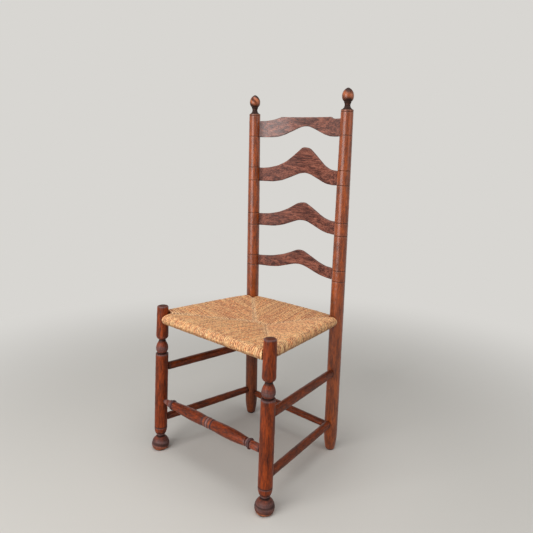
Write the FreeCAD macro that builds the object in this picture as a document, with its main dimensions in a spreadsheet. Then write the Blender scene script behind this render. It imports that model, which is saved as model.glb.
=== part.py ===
import FreeCAD, Part
import Sketcher
import os

# Ladder-back side chair with turned legs, bowed slats and a woven rush seat.
# Millimetres, +Z up, +Y to the back, and +X to the right of someone who faces the front of the chair.
# The origin is on the floor, in the middle of the space that the chair stands in.

SIZES = [
    # Whole chair
    ("overall_height", 1143),
    ("front_spacing", 445),
    ("rear_spacing", 346),
    ("leg_depth", 365),
    ("rake", 0.0242),
    ("front_splay", 0.0078),
    ("rear_splay", 0.0209),
    ("foot_stub", 4),
    # Score lines cut on the lathe
    ("score_width", 1.8),
    ("score_depth", 1),
    # Front legs, from the floor up
    ("foot_base_radius", 19.5),
    ("foot_ball_height", 15),
    ("foot_ball_radius", 27),
    ("foot_ball_rise", 24),
    ("ankle_radius", 12),
    ("ankle_length", 4.5),
    ("ankle_ring_width", 4.6),
    ("ankle_ring_bulge", 1.6),
    ("ankle_groove_width", 2.2),
    ("ankle_flare_radius", 16.2),
    ("ankle_flare_rise", 17),
    ("leg_score_rise", 2.9),
    ("leg_radius", 19.8),
    ("collar_below_seat_rail", 111.2),
    ("collar_groove_radius", 13.4),
    ("collar_groove_width", 4.6),
    ("bulb_base_radius", 15),
    ("bulb_lower_rise", 13.5),
    ("bulb_radius", 19.2),
    ("bulb_upper_rise", 18),
    ("bulb_waist_radius", 13),
    ("bulb_waist_bulge", 1.1),
    ("leg_neck_rise", 10),
    ("leg_neck_radius", 10.2),
    ("cap_base_rise", 11),
    ("cap_base_radius", 19),
    ("cap_top_radius", 17.6),
    ("cap_edge", 3),
    ("cap_dome", 2.2),
    ("left_top_above_seat_rail", 41.7),
    ("right_top_above_seat_rail", 48.9),
    # Rear posts, from the floor up
    ("post_base_radius", 11),
    ("post_toe_rise", 9),
    ("post_toe_radius", 15.4),
    ("post_foot_rise", 45),
    ("post_foot_radius", 20.5),
    ("post_belly_height", 450),
    ("post_radius", 21.5),
    ("post_bulge", 0.5),
    ("post_top_radius", 19.5),
    # Finials, from the shoulder score up
    ("shoulder_rim_rise", 5),
    ("shoulder_round", 3.2),
    ("finial_cove_rise", 13),
    ("finial_neck_radius", 8.9),
    ("finial_flare_rise", 8.5),
    ("finial_collar_radius", 11.7),
    ("finial_groove_width", 3),
    ("acorn_base_radius", 12.2),
    ("acorn_lower_rise", 14),
    ("acorn_lower_bulge", 1.6),
    ("acorn_radius", 18.3),
    ("acorn_upper_rise", 28.2),
    ("acorn_bulge", 5.4),
    ("acorn_tip_radius", 1.4),
    ("acorn_tip_rise", 0.8),
    # Stretchers
    ("tenon_gap", 1.2),
    ("stretcher_tenon_radius", 8),
    ("stretcher_end_round", 5),
    ("upper_side_height", 257),
    ("upper_side_fall", 7.2),
    ("upper_side_radius", 12.7),
    ("upper_side_end_radius", 12),
    ("lower_side_height", 95),
    ("lower_side_fall", 7.8),
    ("lower_side_radius", 11.6),
    ("lower_side_end_radius", 10.9),
    ("rear_stretcher_height", 74.6),
    ("rear_stretcher_fall", 3.8),
    ("rear_stretcher_radius", 10.8),
    ("rear_stretcher_end_radius", 10.1),
    ("front_stretcher_height", 155),
    ("front_stretcher_climb", 6.7),
    # Turnings of the front stretcher, from the leg inwards
    ("front_tenon_radius", 6.5),
    ("neck_edge", 0.5),
    ("left_neck_start_radius", 7),
    ("left_neck_length", 22),
    ("left_neck_radius", 8.2),
    ("left_neck_bulge", 0.3),
    ("right_neck_start_radius", 9.8),
    ("right_neck_length", 33),
    ("right_neck_radius", 11),
    ("right_neck_bulge", 0.5),
    ("end_notch_width", 1.6),
    ("end_notch_radius", 7.6),
    ("left_bead_radius", 10.2),
    ("left_bead_width", 11),
    ("left_bead_bulge", 1.3),
    ("right_bead_radius", 11.2),
    ("right_bead_width", 5),
    ("right_bead_bulge", 0.8),
    ("right_groove_width", 3),
    ("right_groove_radius", 9.8),
    ("disc_radius", 12.8),
    ("disc_width", 6.5),
    ("disc_bulge", 2),
    ("swell_end_radius", 11.6),
    ("belly_radius", 16),
    ("left_belly_from_ring", 55),
    ("right_belly_from_ring", 78),
    ("middle_ring_shift", 1.5),
    ("swell_inner_radius", 14.2),
    ("middle_ring_width", 8),
    ("middle_ring_radius", 14),
    ("middle_ring_bulge", 1.4),
    ("middle_groove_width", 1.8),
    ("middle_groove_depth", 1.4),
    ("middle_collar_width", 11),
    ("middle_collar_radius", 14.8),
    # Slats: the second and third are spread evenly, but for their shifts
    ("slat_thickness", 8.5),
    ("slat_tenon_depth", 12),
    ("flank_inset", 84),
    ("flank_left_ease", 60),
    ("flank_right_ease", 36),
    ("arch_inset", 86),
    ("arch_ease", 30),
    ("arch_crest_reach", 16.5),
    ("top_slat_below_shoulder", 74.8),
    ("top_slat_end_width", 57),
    ("top_slat_arch", 37.2),
    ("top_slat_bow", 46),
    ("sawn_left_inset", 22),
    ("sawn_left_reach", 97),
    ("sawn_left_rise", 14),
    ("sawn_right_inset", 56),
    ("sawn_right_reach", 115),
    ("sawn_right_rise", 7.5),
    ("sawn_chip_width", 9),
    ("sawn_chip_rise", 2.6),
    ("second_slat_shift", -3.8),
    ("second_slat_end_width", 47.5),
    ("second_slat_arch", 34.5),
    ("second_slat_crest", 74.5),
    ("second_slat_left_crest_reach", 9),
    ("second_slat_right_crest_reach", 16.5),
    ("second_slat_bow", 48),
    ("third_slat_shift", -9.2),
    ("third_slat_end_width", 42),
    ("third_slat_arch", 30),
    ("third_slat_crest", 49),
    ("third_slat_left_crest_reach", 16.5),
    ("third_slat_right_crest_reach", 9),
    ("third_slat_bow", 46),
    ("lowest_slat_above_seat", 122),
    ("lowest_slat_end_width", 35.3),
    ("lowest_slat_arch", 23),
    ("lowest_slat_crest", 36.7),
    ("lowest_slat_left_crest_reach", 9),
    ("lowest_slat_right_crest_reach", 9),
    ("lowest_slat_bow", 36),
    # Joiner's score lines on the posts, over the slats' lower and upper edges
    ("score_above_lower_edge", 2.8),
    ("score_above_upper_edge", 1.3),
    # Seat rails, inside the rush
    ("rail_radius", 11),
    ("rail_tenon_radius", 6.4),
    ("rail_shoulder_gap", 0.5),
    ("seat_rail_height", 414),
    ("seat_fall", 2),
    ("side_rail_front_lift", 8),
    ("side_rail_rear_lift", 3.5),
    # Rush seat and its stuffing
    ("rush_thickness", 4),
    ("rush_clearance", 0.3),
    ("rim_step", 0.5),
    ("seat_dish", 26),
    ("seat_middle_thickness", 24),
    ("bridge_left", 18),
    ("bridge_right", 28),
    ("bridge_from_front", 202),
    ("bridge_width", 8),
    ("pad_thickness", 9),
    ("pad_margin", 19),
]

doc = FreeCAD.newDocument("LadderbackChair")
sheet = doc.addObject("Spreadsheet::Sheet", "Sizes")
for row, (alias, value) in enumerate(SIZES, start=1):
    sheet.set(f"A{row}", alias)
    sheet.set(f"B{row}", str(value))
    sheet.setAlias(f"B{row}", alias)

# Lengths and places worked out from the sizes, each kept under its own name
frame = doc.addObject("App::VarSet", "Frame")
doc.recompute()


def derive(name, expression):
    """Keep a value worked out from the sizes, and give the name to use it by."""
    frame.addProperty("App::PropertyFloat", name)
    frame.setExpression(name, expression)
    frame.recompute()
    return f"Frame.{name}"


def number(expression):
    """The value that an expression has now, as a plain number."""
    value = sheet.evalExpression(expression)
    return float(getattr(value, "Value", value))


# Heights over the floor

FINIAL_RISES = [
    "Sizes.acorn_tip_rise",
    "Sizes.acorn_upper_rise",
    "Sizes.acorn_lower_rise",
    "Sizes.finial_groove_width",
    "Sizes.finial_flare_rise",
    "Sizes.finial_cove_rise",
    "Sizes.shoulder_round",
    "Sizes.shoulder_rim_rise",
]
finial_height = derive("finial_height", " + ".join(FINIAL_RISES))
rear_rail_height = derive("rear_rail_height", "Sizes.seat_rail_height - Sizes.seat_fall")
side_rail_front = derive("side_rail_front", "Sizes.seat_rail_height + Sizes.side_rail_front_lift")
side_rail_rear = derive("side_rail_rear", f"{rear_rail_height} + Sizes.side_rail_rear_lift")
top_height = derive(
    "top_height", f"Sizes.overall_height - {finial_height} - Sizes.top_slat_below_shoulder"
)
lowest_height = derive("lowest_height", f"{side_rail_rear} + Sizes.lowest_slat_above_seat")
slat_pitch = derive("slat_pitch", f"({top_height} - {lowest_height}) / 3")
SLAT_HEIGHTS = {
    "top": top_height,
    "second": derive("second_height", f"{top_height} - {slat_pitch} + Sizes.second_slat_shift"),
    "third": derive("third_height", f"{lowest_height} + {slat_pitch} + Sizes.third_slat_shift"),
    "lowest": lowest_height,
}


# Lines of the frame: the box round the chair runs from the ball feet to the back of the top slat

top_edge = derive("top_edge", f"{top_height} + Sizes.top_slat_end_width + Sizes.sawn_left_rise")
back_reach = derive(
    "back_reach",
    f"Sizes.leg_depth + Sizes.rake * {top_edge} + Sizes.top_slat_bow + Sizes.slat_thickness / 2",
)
front_reach = derive("front_reach", "Sizes.foot_ball_radius - Sizes.rake * Sizes.foot_ball_height")
front_line = derive("front_line", f"({front_reach} - {back_reach}) / 2")
rear_line = derive("rear_line", f"{front_line} + Sizes.leg_depth")


def front_axis(side, height):
    """Point of a front leg's axis at a height over the floor."""
    x = f"{side} * (Sizes.front_spacing / 2 + Sizes.front_splay * {height})"
    return x, f"({front_line} + Sizes.rake * {height})", height


def rear_axis(side, height):
    """Point of a rear post's axis at a height over the floor."""
    x = f"{side} * (Sizes.rear_spacing / 2 + Sizes.rear_splay * {height})"
    return x, f"({rear_line} + Sizes.rake * {height})", height


def span(start, end):
    """Differences between two points, and their distance."""
    steps = [f"({b} - {a})" for a, b in zip(start, end)]
    return steps, "hypot({}; {}; {})".format(*steps)


def along(start, end):
    """Placement that puts a piece's own Z axis on the line from one point to another."""
    (dx, dy, dz), _ = span(start, end)
    turning = f"rotation(atan2({dy}; {dx}); atan2(hypot({dx}; {dy}); {dz}); 0)"
    return "placement(vector({}; {}; {}); {})".format(*start, turning)


# Outlines of lines and arcs

STRAIGHT = None


class Corner:
    """A point of an outline, and the form of the edge that leads to it.

    The edge is STRAIGHT, ("round", s) that swells by s, ("swell",) that swells and is upright at its
    wide end, ("cove",) that dips and is upright at its narrow end, or ("arc", radius, side) with its
    centre inside the outline where side is 1 and outside where it is -1.
    """

    def __init__(self, x, y, edge=STRAIGHT):
        self.x = x
        self.y = y
        self.edge = edge


def climb(start, *steps):
    """Corners that follow one another upwards: each step is a radius, a rise and maybe an edge."""
    corners = []
    y = start
    for radius, rise, *edge in steps:
        y = f"{y} + {rise}"
        corners.append(Corner(radius, y, *edge))
    return corners


def turned_round(half, length, middle):
    """Corners measured from a piece's far end, taken from its middle on; middle is the first edge."""
    edges = [corner.edge for corner in half[1:]] + [middle]
    other = [Corner(c.x, f"{length} - ({c.y})", edge) for c, edge in zip(half, edges)]
    return other[::-1]


def arc_radius(corner, before):
    """Radius and side of the arc that leads to a corner."""
    kind, *given = corner.edge
    if kind == "arc":
        return given
    dx = f"({corner.x} - ({before.x}))"
    dy = f"({corner.y} - ({before.y}))"
    if kind == "round":
        return f"(({dx}^2 + {dy}^2) / 4 + ({given[0]})^2) / (2 * ({given[0]}))", 1
    return f"({dx}^2 + {dy}^2) / (2 * abs({dx}))", 1 if kind == "swell" else -1


def draw(body, name, plane, corners, level=None):
    """Closed sketch through the corners, taken anticlockwise, every size bound to the sheet."""
    sketch = body.newObject("Sketcher::SketchObject", name)
    origin_plane = [feature for feature in body.Origin.OriginFeatures if feature.Role == plane][0]
    sketch.AttachmentSupport = [(origin_plane, "")]
    sketch.MapMode = "FlatFace"
    if level is not None:
        sketch.setExpression("AttachmentOffset.Base.z", level)

    spots = [FreeCAD.Vector(number(corner.x), number(corner.y), 0) for corner in corners]
    edges = []
    for index, corner in enumerate(corners):
        start = spots[index - 1]
        end = spots[index]
        if corner.edge is STRAIGHT:
            edge = sketch.addGeometry(Part.LineSegment(start, end), False)
            edges.append((edge, 1, 2))
            continue
        radius, side = arc_radius(corner, corners[index - 1])
        size = number(radius)
        chord = end - start
        depth = size - (size ** 2 - chord.Length ** 2 / 4) ** 0.5
        outward = FreeCAD.Vector(chord.y, -chord.x, 0).normalize()
        crest = (start + end) / 2 + outward * depth * side
        if side > 0:
            edge = sketch.addGeometry(Part.ArcOfCircle(start, crest, end), False)
            edges.append((edge, 1, 2))
        else:
            edge = sketch.addGeometry(Part.ArcOfCircle(end, crest, start), False)
            edges.append((edge, 2, 1))
        place = sketch.addConstraint(Sketcher.Constraint("Radius", edge, size))
        sketch.setExpression(f"Constraints[{place}]", radius)

    for index, corner in enumerate(corners):
        edge, _, end = edges[index]
        following, first, _ = edges[(index + 1) % len(edges)]
        sketch.addConstraint(Sketcher.Constraint("Coincident", edge, end, following, first))
        fix(sketch, "DistanceX", edge, end, corner.x, spots[index].x)
        fix(sketch, "DistanceY", edge, end, corner.y, spots[index].y)
    return sketch


def fix(sketch, kind, edge, end, expression, size):
    """Hold one coordinate of a point at an expression, measured from the sketch's origin."""
    if expression == "0":
        axis = -2 if kind == "DistanceX" else -1
        sketch.addConstraint(Sketcher.Constraint("PointOnObject", edge, end, axis))
        return
    if size < 0:
        place = sketch.addConstraint(Sketcher.Constraint(kind, edge, end, -1, 1, -size))
        sketch.setExpression(f"Constraints[{place}]", f"-({expression})")
        return
    place = sketch.addConstraint(Sketcher.Constraint(kind, -1, 1, edge, end, size))
    sketch.setExpression(f"Constraints[{place}]", expression)


# Kinds of piece


def turned(label, corners, placement):
    """Turned piece: the outline swept round the body's own Z axis."""
    body = doc.addObject("PartDesign::Body", label)
    sketch = draw(body, label + "_outline", "XZ_Plane", corners)
    turning = body.newObject("PartDesign::Revolution", label + "_turning")
    turning.Profile = sketch
    turning.ReferenceAxis = (sketch, ["V_Axis"])
    turning.Angle = 360
    body.setExpression("Placement", placement)
    return body


def padded(label, plane, corners, length, placement):
    """Flat piece: the outline padded by half its length to each side of its plane."""
    body = doc.addObject("PartDesign::Body", label)
    sketch = draw(body, label + "_outline", plane, corners)
    block = body.newObject("PartDesign::Pad", label + "_block")
    block.Profile = sketch
    block.SideType = "Symmetric"
    block.setExpression("Length", length)
    body.setExpression("Placement", placement)
    return body


def rod(name, radius, start, end):
    """Plain cylinder from one point to another."""
    cylinder = doc.addObject("Part::Cylinder", name)
    cylinder.setExpression("Radius", radius)
    cylinder.setExpression("Height", span(start, end)[1])
    cylinder.setExpression("Placement", along(start, end))
    return cylinder


def cut(label, base, tools):
    """What is left of a piece when others are cut from it."""
    group = doc.addObject("Part::Compound", label + "_cutters")
    group.Links = tools
    piece = doc.addObject("Part::Cut", label)
    piece.Base = base
    piece.Tool = group
    return piece


pieces = {}

SIDES = {"left": "-1", "right": "1"}
LEG = "Sizes.leg_radius"
POST = "Sizes.post_radius"
CAP = "Sizes.cap_base_radius"


# Plain stretchers and seat rails


def plain_stretcher(label, start, end, start_leg, end_leg, size):
    """Round stretcher, thickest in the middle, with a tenon at each end."""
    tenon = "Sizes.stretcher_tenon_radius"
    tip = f"({tenon} + Sizes.tenon_gap)"
    end_round = "Sizes.stretcher_end_round"
    end_radius = f"Sizes.{size}_end_radius"
    middle = f"{span(start, end)[1]} / 2"
    near = climb(
        tip,
        ("0", "0"),
        (tenon, "0"),
        (tenon, f"{start_leg} - {tip}"),
        (end_radius, end_round, ("swell",)),
    )
    far = climb(
        f"2 * {middle} - {end_leg}",
        (end_radius, f"-{end_round}", ("swell",)),
        (tenon, end_round, ("swell",)),
        (tenon, f"{end_leg} - {tip}"),
        ("0", "0"),
    )
    corners = near + [Corner(f"Sizes.{size}_radius", middle, ("swell",))] + far
    pieces[label] = turned(label, corners, along(start, end))


def seat_rail(label, start, end, leg):
    """Plain round rail with a thinner tenon at each end; leg gives the radii at its ends."""
    length = span(start, end)[1]
    tenon = "Sizes.rail_tenon_radius"
    tip = f"({tenon} + Sizes.tenon_gap)"
    rail = "Sizes.rail_radius"
    gap = "Sizes.rail_shoulder_gap"
    near = climb(
        tip,
        ("0", "0"),
        (tenon, "0"),
        (tenon, f"{leg[0]} - {tip} + {gap}"),
        (rail, "0"),
    )
    far = climb(
        f"{length} - {leg[1]}",
        (rail, f"-{gap}"),
        (tenon, "0"),
        (tenon, f"{leg[1]} - {tip} + {gap}"),
        ("0", "0"),
    )
    pieces[label] = turned(label, near + far, along(start, end))


for hand, side in SIDES.items():
    for level in ("upper_side", "lower_side"):
        plain_stretcher(
            f"{level}_stretcher_{hand}",
            front_axis(side, f"Sizes.{level}_height"),
            rear_axis(side, f"(Sizes.{level}_height - Sizes.{level}_fall)"),
            LEG,
            POST,
            level,
        )
plain_stretcher(
    "rear_stretcher",
    rear_axis(SIDES["left"], "Sizes.rear_stretcher_height"),
    rear_axis(SIDES["right"], "(Sizes.rear_stretcher_height - Sizes.rear_stretcher_fall)"),
    POST,
    POST,
    "rear_stretcher",
)

front_left = front_axis(SIDES["left"], "Sizes.seat_rail_height")
front_right = front_axis(SIDES["right"], "Sizes.seat_rail_height")
rear_left = rear_axis(SIDES["left"], rear_rail_height)
rear_right = rear_axis(SIDES["right"], rear_rail_height)
RAILS = {"front": (front_left, front_right, (CAP, CAP)), "rear": (rear_left, rear_right, (POST, POST))}
for hand, side in SIDES.items():
    RAILS[hand] = (
        front_axis(side, side_rail_front),
        rear_axis(side, side_rail_rear),
        (CAP, POST),
    )
for place, (start, end, legs) in RAILS.items():
    seat_rail(f"seat_rail_{place}", start, end, legs)


# Front stretcher: ringed a little left of its middle, with two swellings, and a neck at each end


def neck(hand):
    """Corners of the tenon and the neck at one end of the front stretcher."""
    tenon = "Sizes.front_tenon_radius"
    tip = f"({tenon} + Sizes.tenon_gap)"
    return climb(
        tip,
        ("0", "0"),
        (tenon, "0"),
        (tenon, f"{LEG} - {tip}"),
        (f"Sizes.{hand}_neck_start_radius", "Sizes.neck_edge"),
        (
            f"Sizes.{hand}_neck_radius",
            f"Sizes.{hand}_neck_length",
            ("round", f"Sizes.{hand}_neck_bulge"),
        ),
    )


def bead(radius, width, bulge):
    """Steps of a notch and the bead after it."""
    return [
        ("Sizes.end_notch_radius", "Sizes.end_notch_width / 2"),
        (radius, "Sizes.end_notch_width / 2"),
        (radius, width, ("round", bulge)),
    ]


def swelling(start, ring, belly):
    """Corners from the last bead of an end, over the swelling, to the middle ring."""
    collar = "Sizes.middle_collar_radius"
    collar_notch = f"({collar} - Sizes.middle_groove_depth)"
    groove_half = "Sizes.middle_groove_width / 2"
    corners = climb(
        start,
        ("Sizes.end_notch_radius", "Sizes.end_notch_width / 2"),
        ("Sizes.swell_end_radius", "Sizes.end_notch_width / 2"),
    )
    corners.append(Corner("Sizes.belly_radius", f"{ring} - {belly}", ("swell",)))
    return corners + climb(
        f"{ring} - Sizes.middle_ring_width / 2",
        (
            "Sizes.swell_inner_radius",
            "-2 * Sizes.middle_groove_width - Sizes.middle_collar_width",
            ("swell",),
        ),
        (collar_notch, groove_half),
        (collar, groove_half),
        (collar, "Sizes.middle_collar_width"),
        (collar_notch, groove_half),
        ("Sizes.middle_ring_radius", groove_half),
    )


def front_stretcher():
    """Front stretcher; the disc is inside the left end's bead, and outside the right end's."""
    right_height = "(Sizes.front_stretcher_height + Sizes.front_stretcher_climb)"
    start = front_axis(SIDES["left"], "Sizes.front_stretcher_height")
    end = front_axis(SIDES["right"], right_height)
    length = derive("front_stretcher_length", span(start, end)[1])
    disc = bead("Sizes.disc_radius", "Sizes.disc_width", "Sizes.disc_bulge")

    left = neck("left")
    left_bead = bead("Sizes.left_bead_radius", "Sizes.left_bead_width", "Sizes.left_bead_bulge")
    left += climb(left[-1].y, *left_bead, *disc)
    left += swelling(
        left[-1].y, f"({length} / 2 + Sizes.middle_ring_shift)", "Sizes.left_belly_from_ring"
    )

    right = neck("right")
    right_bead = bead("Sizes.right_bead_radius", "Sizes.right_bead_width", "Sizes.right_bead_bulge")
    groove = [
        ("Sizes.right_groove_radius", "0"),
        ("Sizes.right_groove_radius", "Sizes.right_groove_width"),
    ]
    right += climb(right[-1].y, *disc, *right_bead, *groove)
    right += swelling(
        right[-1].y, f"({length} / 2 - Sizes.middle_ring_shift)", "Sizes.right_belly_from_ring"
    )

    middle = ("round", "Sizes.middle_ring_bulge")
    corners = left + turned_round(right, length, middle)
    pieces["front_stretcher"] = turned("front_stretcher", corners, along(start, end))


front_stretcher()


# Slats: a bowed strip, sawn to an ogee outline


def ogee_half(base, rise, corner, reach, ease, side):
    """Half of an ogee from its foot to the middle: a hollow, a slope and half of the crest.

    corner is the reach of the crest's rounding, reach the foot of the slope and ease how far from
    there its rounding starts. side is 1 along a lower edge and -1 along an upper one. Each entry is
    a distance from the middle, a height and the edge that leads there.
    """
    slope = f"atan({rise} / ({reach} - {corner}))"
    foot_arc = ("arc", f"{ease} / tan({slope} / 2)", side)
    crest_arc = ("arc", f"{corner} / tan({slope} / 2)", -side)
    return [
        (f"({reach} + {ease})", base, STRAIGHT),
        (f"({reach} - {ease} * cos({slope}))", f"{base} + {ease} * sin({slope})", foot_arc),
        (f"({corner} + {corner} * cos({slope}))", f"{base} + {rise} - {corner} * sin({slope})", STRAIGHT),
        ("0", f"{base} + {rise}", crest_arc),
    ]


def ogee(base, rise, first, second, side):
    """Corners of an ogee; first and second are the corner, reach and ease of its two halves.

    side is 1 along a lower edge, from left to right, and -1 along an upper one, from right to left.
    """
    start = ogee_half(base, rise, *first, side)
    end = ogee_half(base, rise, *second, side)
    corners = [Corner(f"{-side} * {x}", y, edge) for x, y, edge in start]
    edges = [edge for _, _, edge in end[1:]]
    rest = [Corner(f"{side} * {x}", y, edge) for (x, y, _), edge in zip(end, edges)]
    return corners + rest[::-1]


def sawn_edge(base, half_span):
    """Corners of the top slat's upper edge, from right to left: a sloping saw cut with a chip."""
    right_foot = f"({half_span} - Sizes.sawn_right_inset)"
    left_foot = f"({half_span} - Sizes.sawn_left_inset)"
    left_run = f"({left_foot} - Sizes.sawn_left_reach)"
    left_arc = f"({left_run}^2 + Sizes.sawn_left_rise^2) / (2 * Sizes.sawn_left_rise)"
    return [
        Corner(right_foot, base),
        Corner("(Sizes.sawn_right_reach + Sizes.sawn_chip_width)", f"{base} + Sizes.sawn_chip_rise"),
        Corner("Sizes.sawn_right_reach", f"{base} + Sizes.sawn_right_rise"),
        Corner("-1 * Sizes.sawn_left_reach", f"{base} + Sizes.sawn_left_rise"),
        Corner(f"-1 * {left_foot}", base, ("arc", left_arc, -1)),
    ]


def slat(place):
    """One slat; its own frame stands between the posts at its lower edge and leans with them."""
    size = f"Sizes.{place}_slat"
    height = SLAT_HEIGHTS[place]
    width = f"{size}_end_width"
    bow = f"{size}_bow"
    half_span = derive(f"{place}_half_span", rear_axis(SIDES["right"], f"({height} + {width} / 2)")[0])
    tip = derive(f"{place}_tip", f"{half_span} - {POST} + Sizes.slat_tenon_depth")
    bend = derive(f"{place}_bend", f"({half_span}^2 + {bow}^2) / (2 * {bow})")
    arch = ("Sizes.arch_crest_reach", f"({half_span} - Sizes.arch_inset)", "Sizes.arch_ease")
    lower = ogee("0", f"{size}_arch", arch, arch, 1)
    if place == "top":
        upper = sawn_edge(width, half_span)
        top = f"{width} + Sizes.sawn_left_rise"
    else:
        crest = f"{size}_crest"
        flank = f"({half_span} - Sizes.flank_inset)"
        left = (f"{size}_left_crest_reach", flank, "Sizes.flank_left_ease")
        right = (f"{size}_right_crest_reach", flank, "Sizes.flank_right_ease")
        upper = ogee(width, crest, right, left, -1)
        top = f"{width} + {crest}"
    sides = [Corner(tip, "0"), Corner(tip, width)]
    outline = [Corner(f"-{tip}", "0")] + lower + sides + upper + [Corner(f"-{tip}", width)]

    front = f"({bend} - Sizes.slat_thickness / 2)"
    back = f"({bend} + Sizes.slat_thickness / 2)"
    front_end = f"{bow} - {bend} + sqrt({front}^2 - {tip}^2)"
    back_end = f"{bow} - {bend} + sqrt({back}^2 - {tip}^2)"
    strip = [
        Corner(f"-{tip}", front_end),
        Corner(tip, front_end, ("arc", front, -1)),
        Corner(tip, back_end),
        Corner(f"-{tip}", back_end, ("arc", back, 1)),
    ]
    _, y, z = rear_axis(SIDES["right"], height)
    leaning = f"placement(vector(0; {y}; {z}); rotation(vector(1; 0; 0); -atan(Sizes.rake)))"
    piece = doc.addObject("Part::Common", f"slat_{place}")
    piece.Base = padded(
        f"slat_{place}_face", "XZ_Plane", outline, f"2 * ({bow} + Sizes.slat_thickness)", leaning
    )
    piece.Tool = padded(
        f"slat_{place}_strip", "XY_Plane", strip, f"2 * ({top} + Sizes.slat_thickness)", leaning
    )
    pieces[f"slat_{place}"] = piece


for place in SLAT_HEIGHTS:
    slat(place)


# Front legs and rear posts, mortised for what enters them


def floor_box():
    """Block under the floor that cuts the feet level."""
    reach = "2 * Sizes.front_spacing"
    box = doc.addObject("Part::Box", "under_floor")
    box.setExpression("Length", reach)
    box.setExpression("Width", "2 * Sizes.leg_depth")
    box.setExpression("Height", "2 * Sizes.foot_stub")
    box.setExpression(
        "Placement",
        "placement(vector(-Sizes.front_spacing; -Sizes.leg_depth; -2 * Sizes.foot_stub); rotation(0; 0; 0))",
    )
    return box


def score(radius, height):
    """V-shaped score line round a piece."""
    half = "Sizes.score_width / 2"
    return [
        Corner(radius, f"{height} - {half}"),
        Corner(f"({radius} - Sizes.score_depth)", height),
        Corner(radius, f"{height} + {half}"),
    ]


def leg_lean(splay):
    """How much longer a leaning leg is than its height."""
    return f"sqrt(1 + Sizes.rake^2 + {splay}^2)"


def front_leg(hand):
    """Front leg: ball foot, ringed ankle, plain shaft, and a pear-shaped bulb under a capped top."""
    swell = ("swell",)
    stub = "Sizes.foot_stub"
    lower = climb(
        "0",
        ("0", "0"),
        ("Sizes.foot_base_radius", "0"),
        ("Sizes.foot_base_radius", stub),
        ("Sizes.foot_ball_radius", "Sizes.foot_ball_height", swell),
        ("Sizes.ankle_radius", "Sizes.foot_ball_rise", swell),
        ("Sizes.ankle_radius", "Sizes.ankle_length"),
        ("Sizes.ankle_radius", "Sizes.ankle_ring_width", ("round", "Sizes.ankle_ring_bulge")),
        ("Sizes.ankle_radius", "Sizes.ankle_groove_width"),
        ("Sizes.ankle_flare_radius", "0"),
        (LEG, "Sizes.ankle_flare_rise", swell),
    )
    scored = score(LEG, f"{lower[-1].y} + Sizes.leg_score_rise")
    upper = climb(
        f"{stub} + Sizes.seat_rail_height - Sizes.collar_below_seat_rail",
        (LEG, "0"),
        ("Sizes.collar_groove_radius", "0"),
        ("Sizes.collar_groove_radius", "Sizes.collar_groove_width"),
        ("Sizes.bulb_base_radius", "0"),
        ("Sizes.bulb_radius", "Sizes.bulb_lower_rise", swell),
        ("Sizes.bulb_waist_radius", "Sizes.bulb_upper_rise", ("round", "Sizes.bulb_waist_bulge")),
        ("Sizes.leg_neck_radius", "Sizes.leg_neck_rise", ("cove",)),
        (CAP, "Sizes.cap_base_rise", swell),
    )
    top = f"({stub} + Sizes.seat_rail_height + Sizes.{hand}_top_above_seat_rail - Sizes.cap_dome)"
    dome = "(Sizes.cap_top_radius - Sizes.cap_edge)"
    dome_radius = f"({dome}^2 + Sizes.cap_dome^2) / (2 * Sizes.cap_dome)"
    cap = [
        Corner("Sizes.cap_top_radius", f"{top} - Sizes.cap_edge"),
        Corner(dome, top, ("arc", "Sizes.cap_edge", 1)),
        Corner("0", f"{top} + Sizes.cap_dome", ("arc", dome_radius, 1)),
    ]
    side = SIDES[hand]
    placement = along(front_axis(side, f"(-{stub})"), front_axis(side, "Sizes.seat_rail_height"))
    turning = turned(f"front_leg_{hand}_turning", lower + scored + upper + cap, placement)
    entering = ["front_stretcher", f"upper_side_stretcher_{hand}", f"lower_side_stretcher_{hand}"]
    entering += ["seat_rail_front", f"seat_rail_{hand}"]
    tools = [pieces[name] for name in entering] + [under_floor]
    pieces[f"front_leg_{hand}"] = cut(f"front_leg_{hand}", turning, tools)


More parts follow.
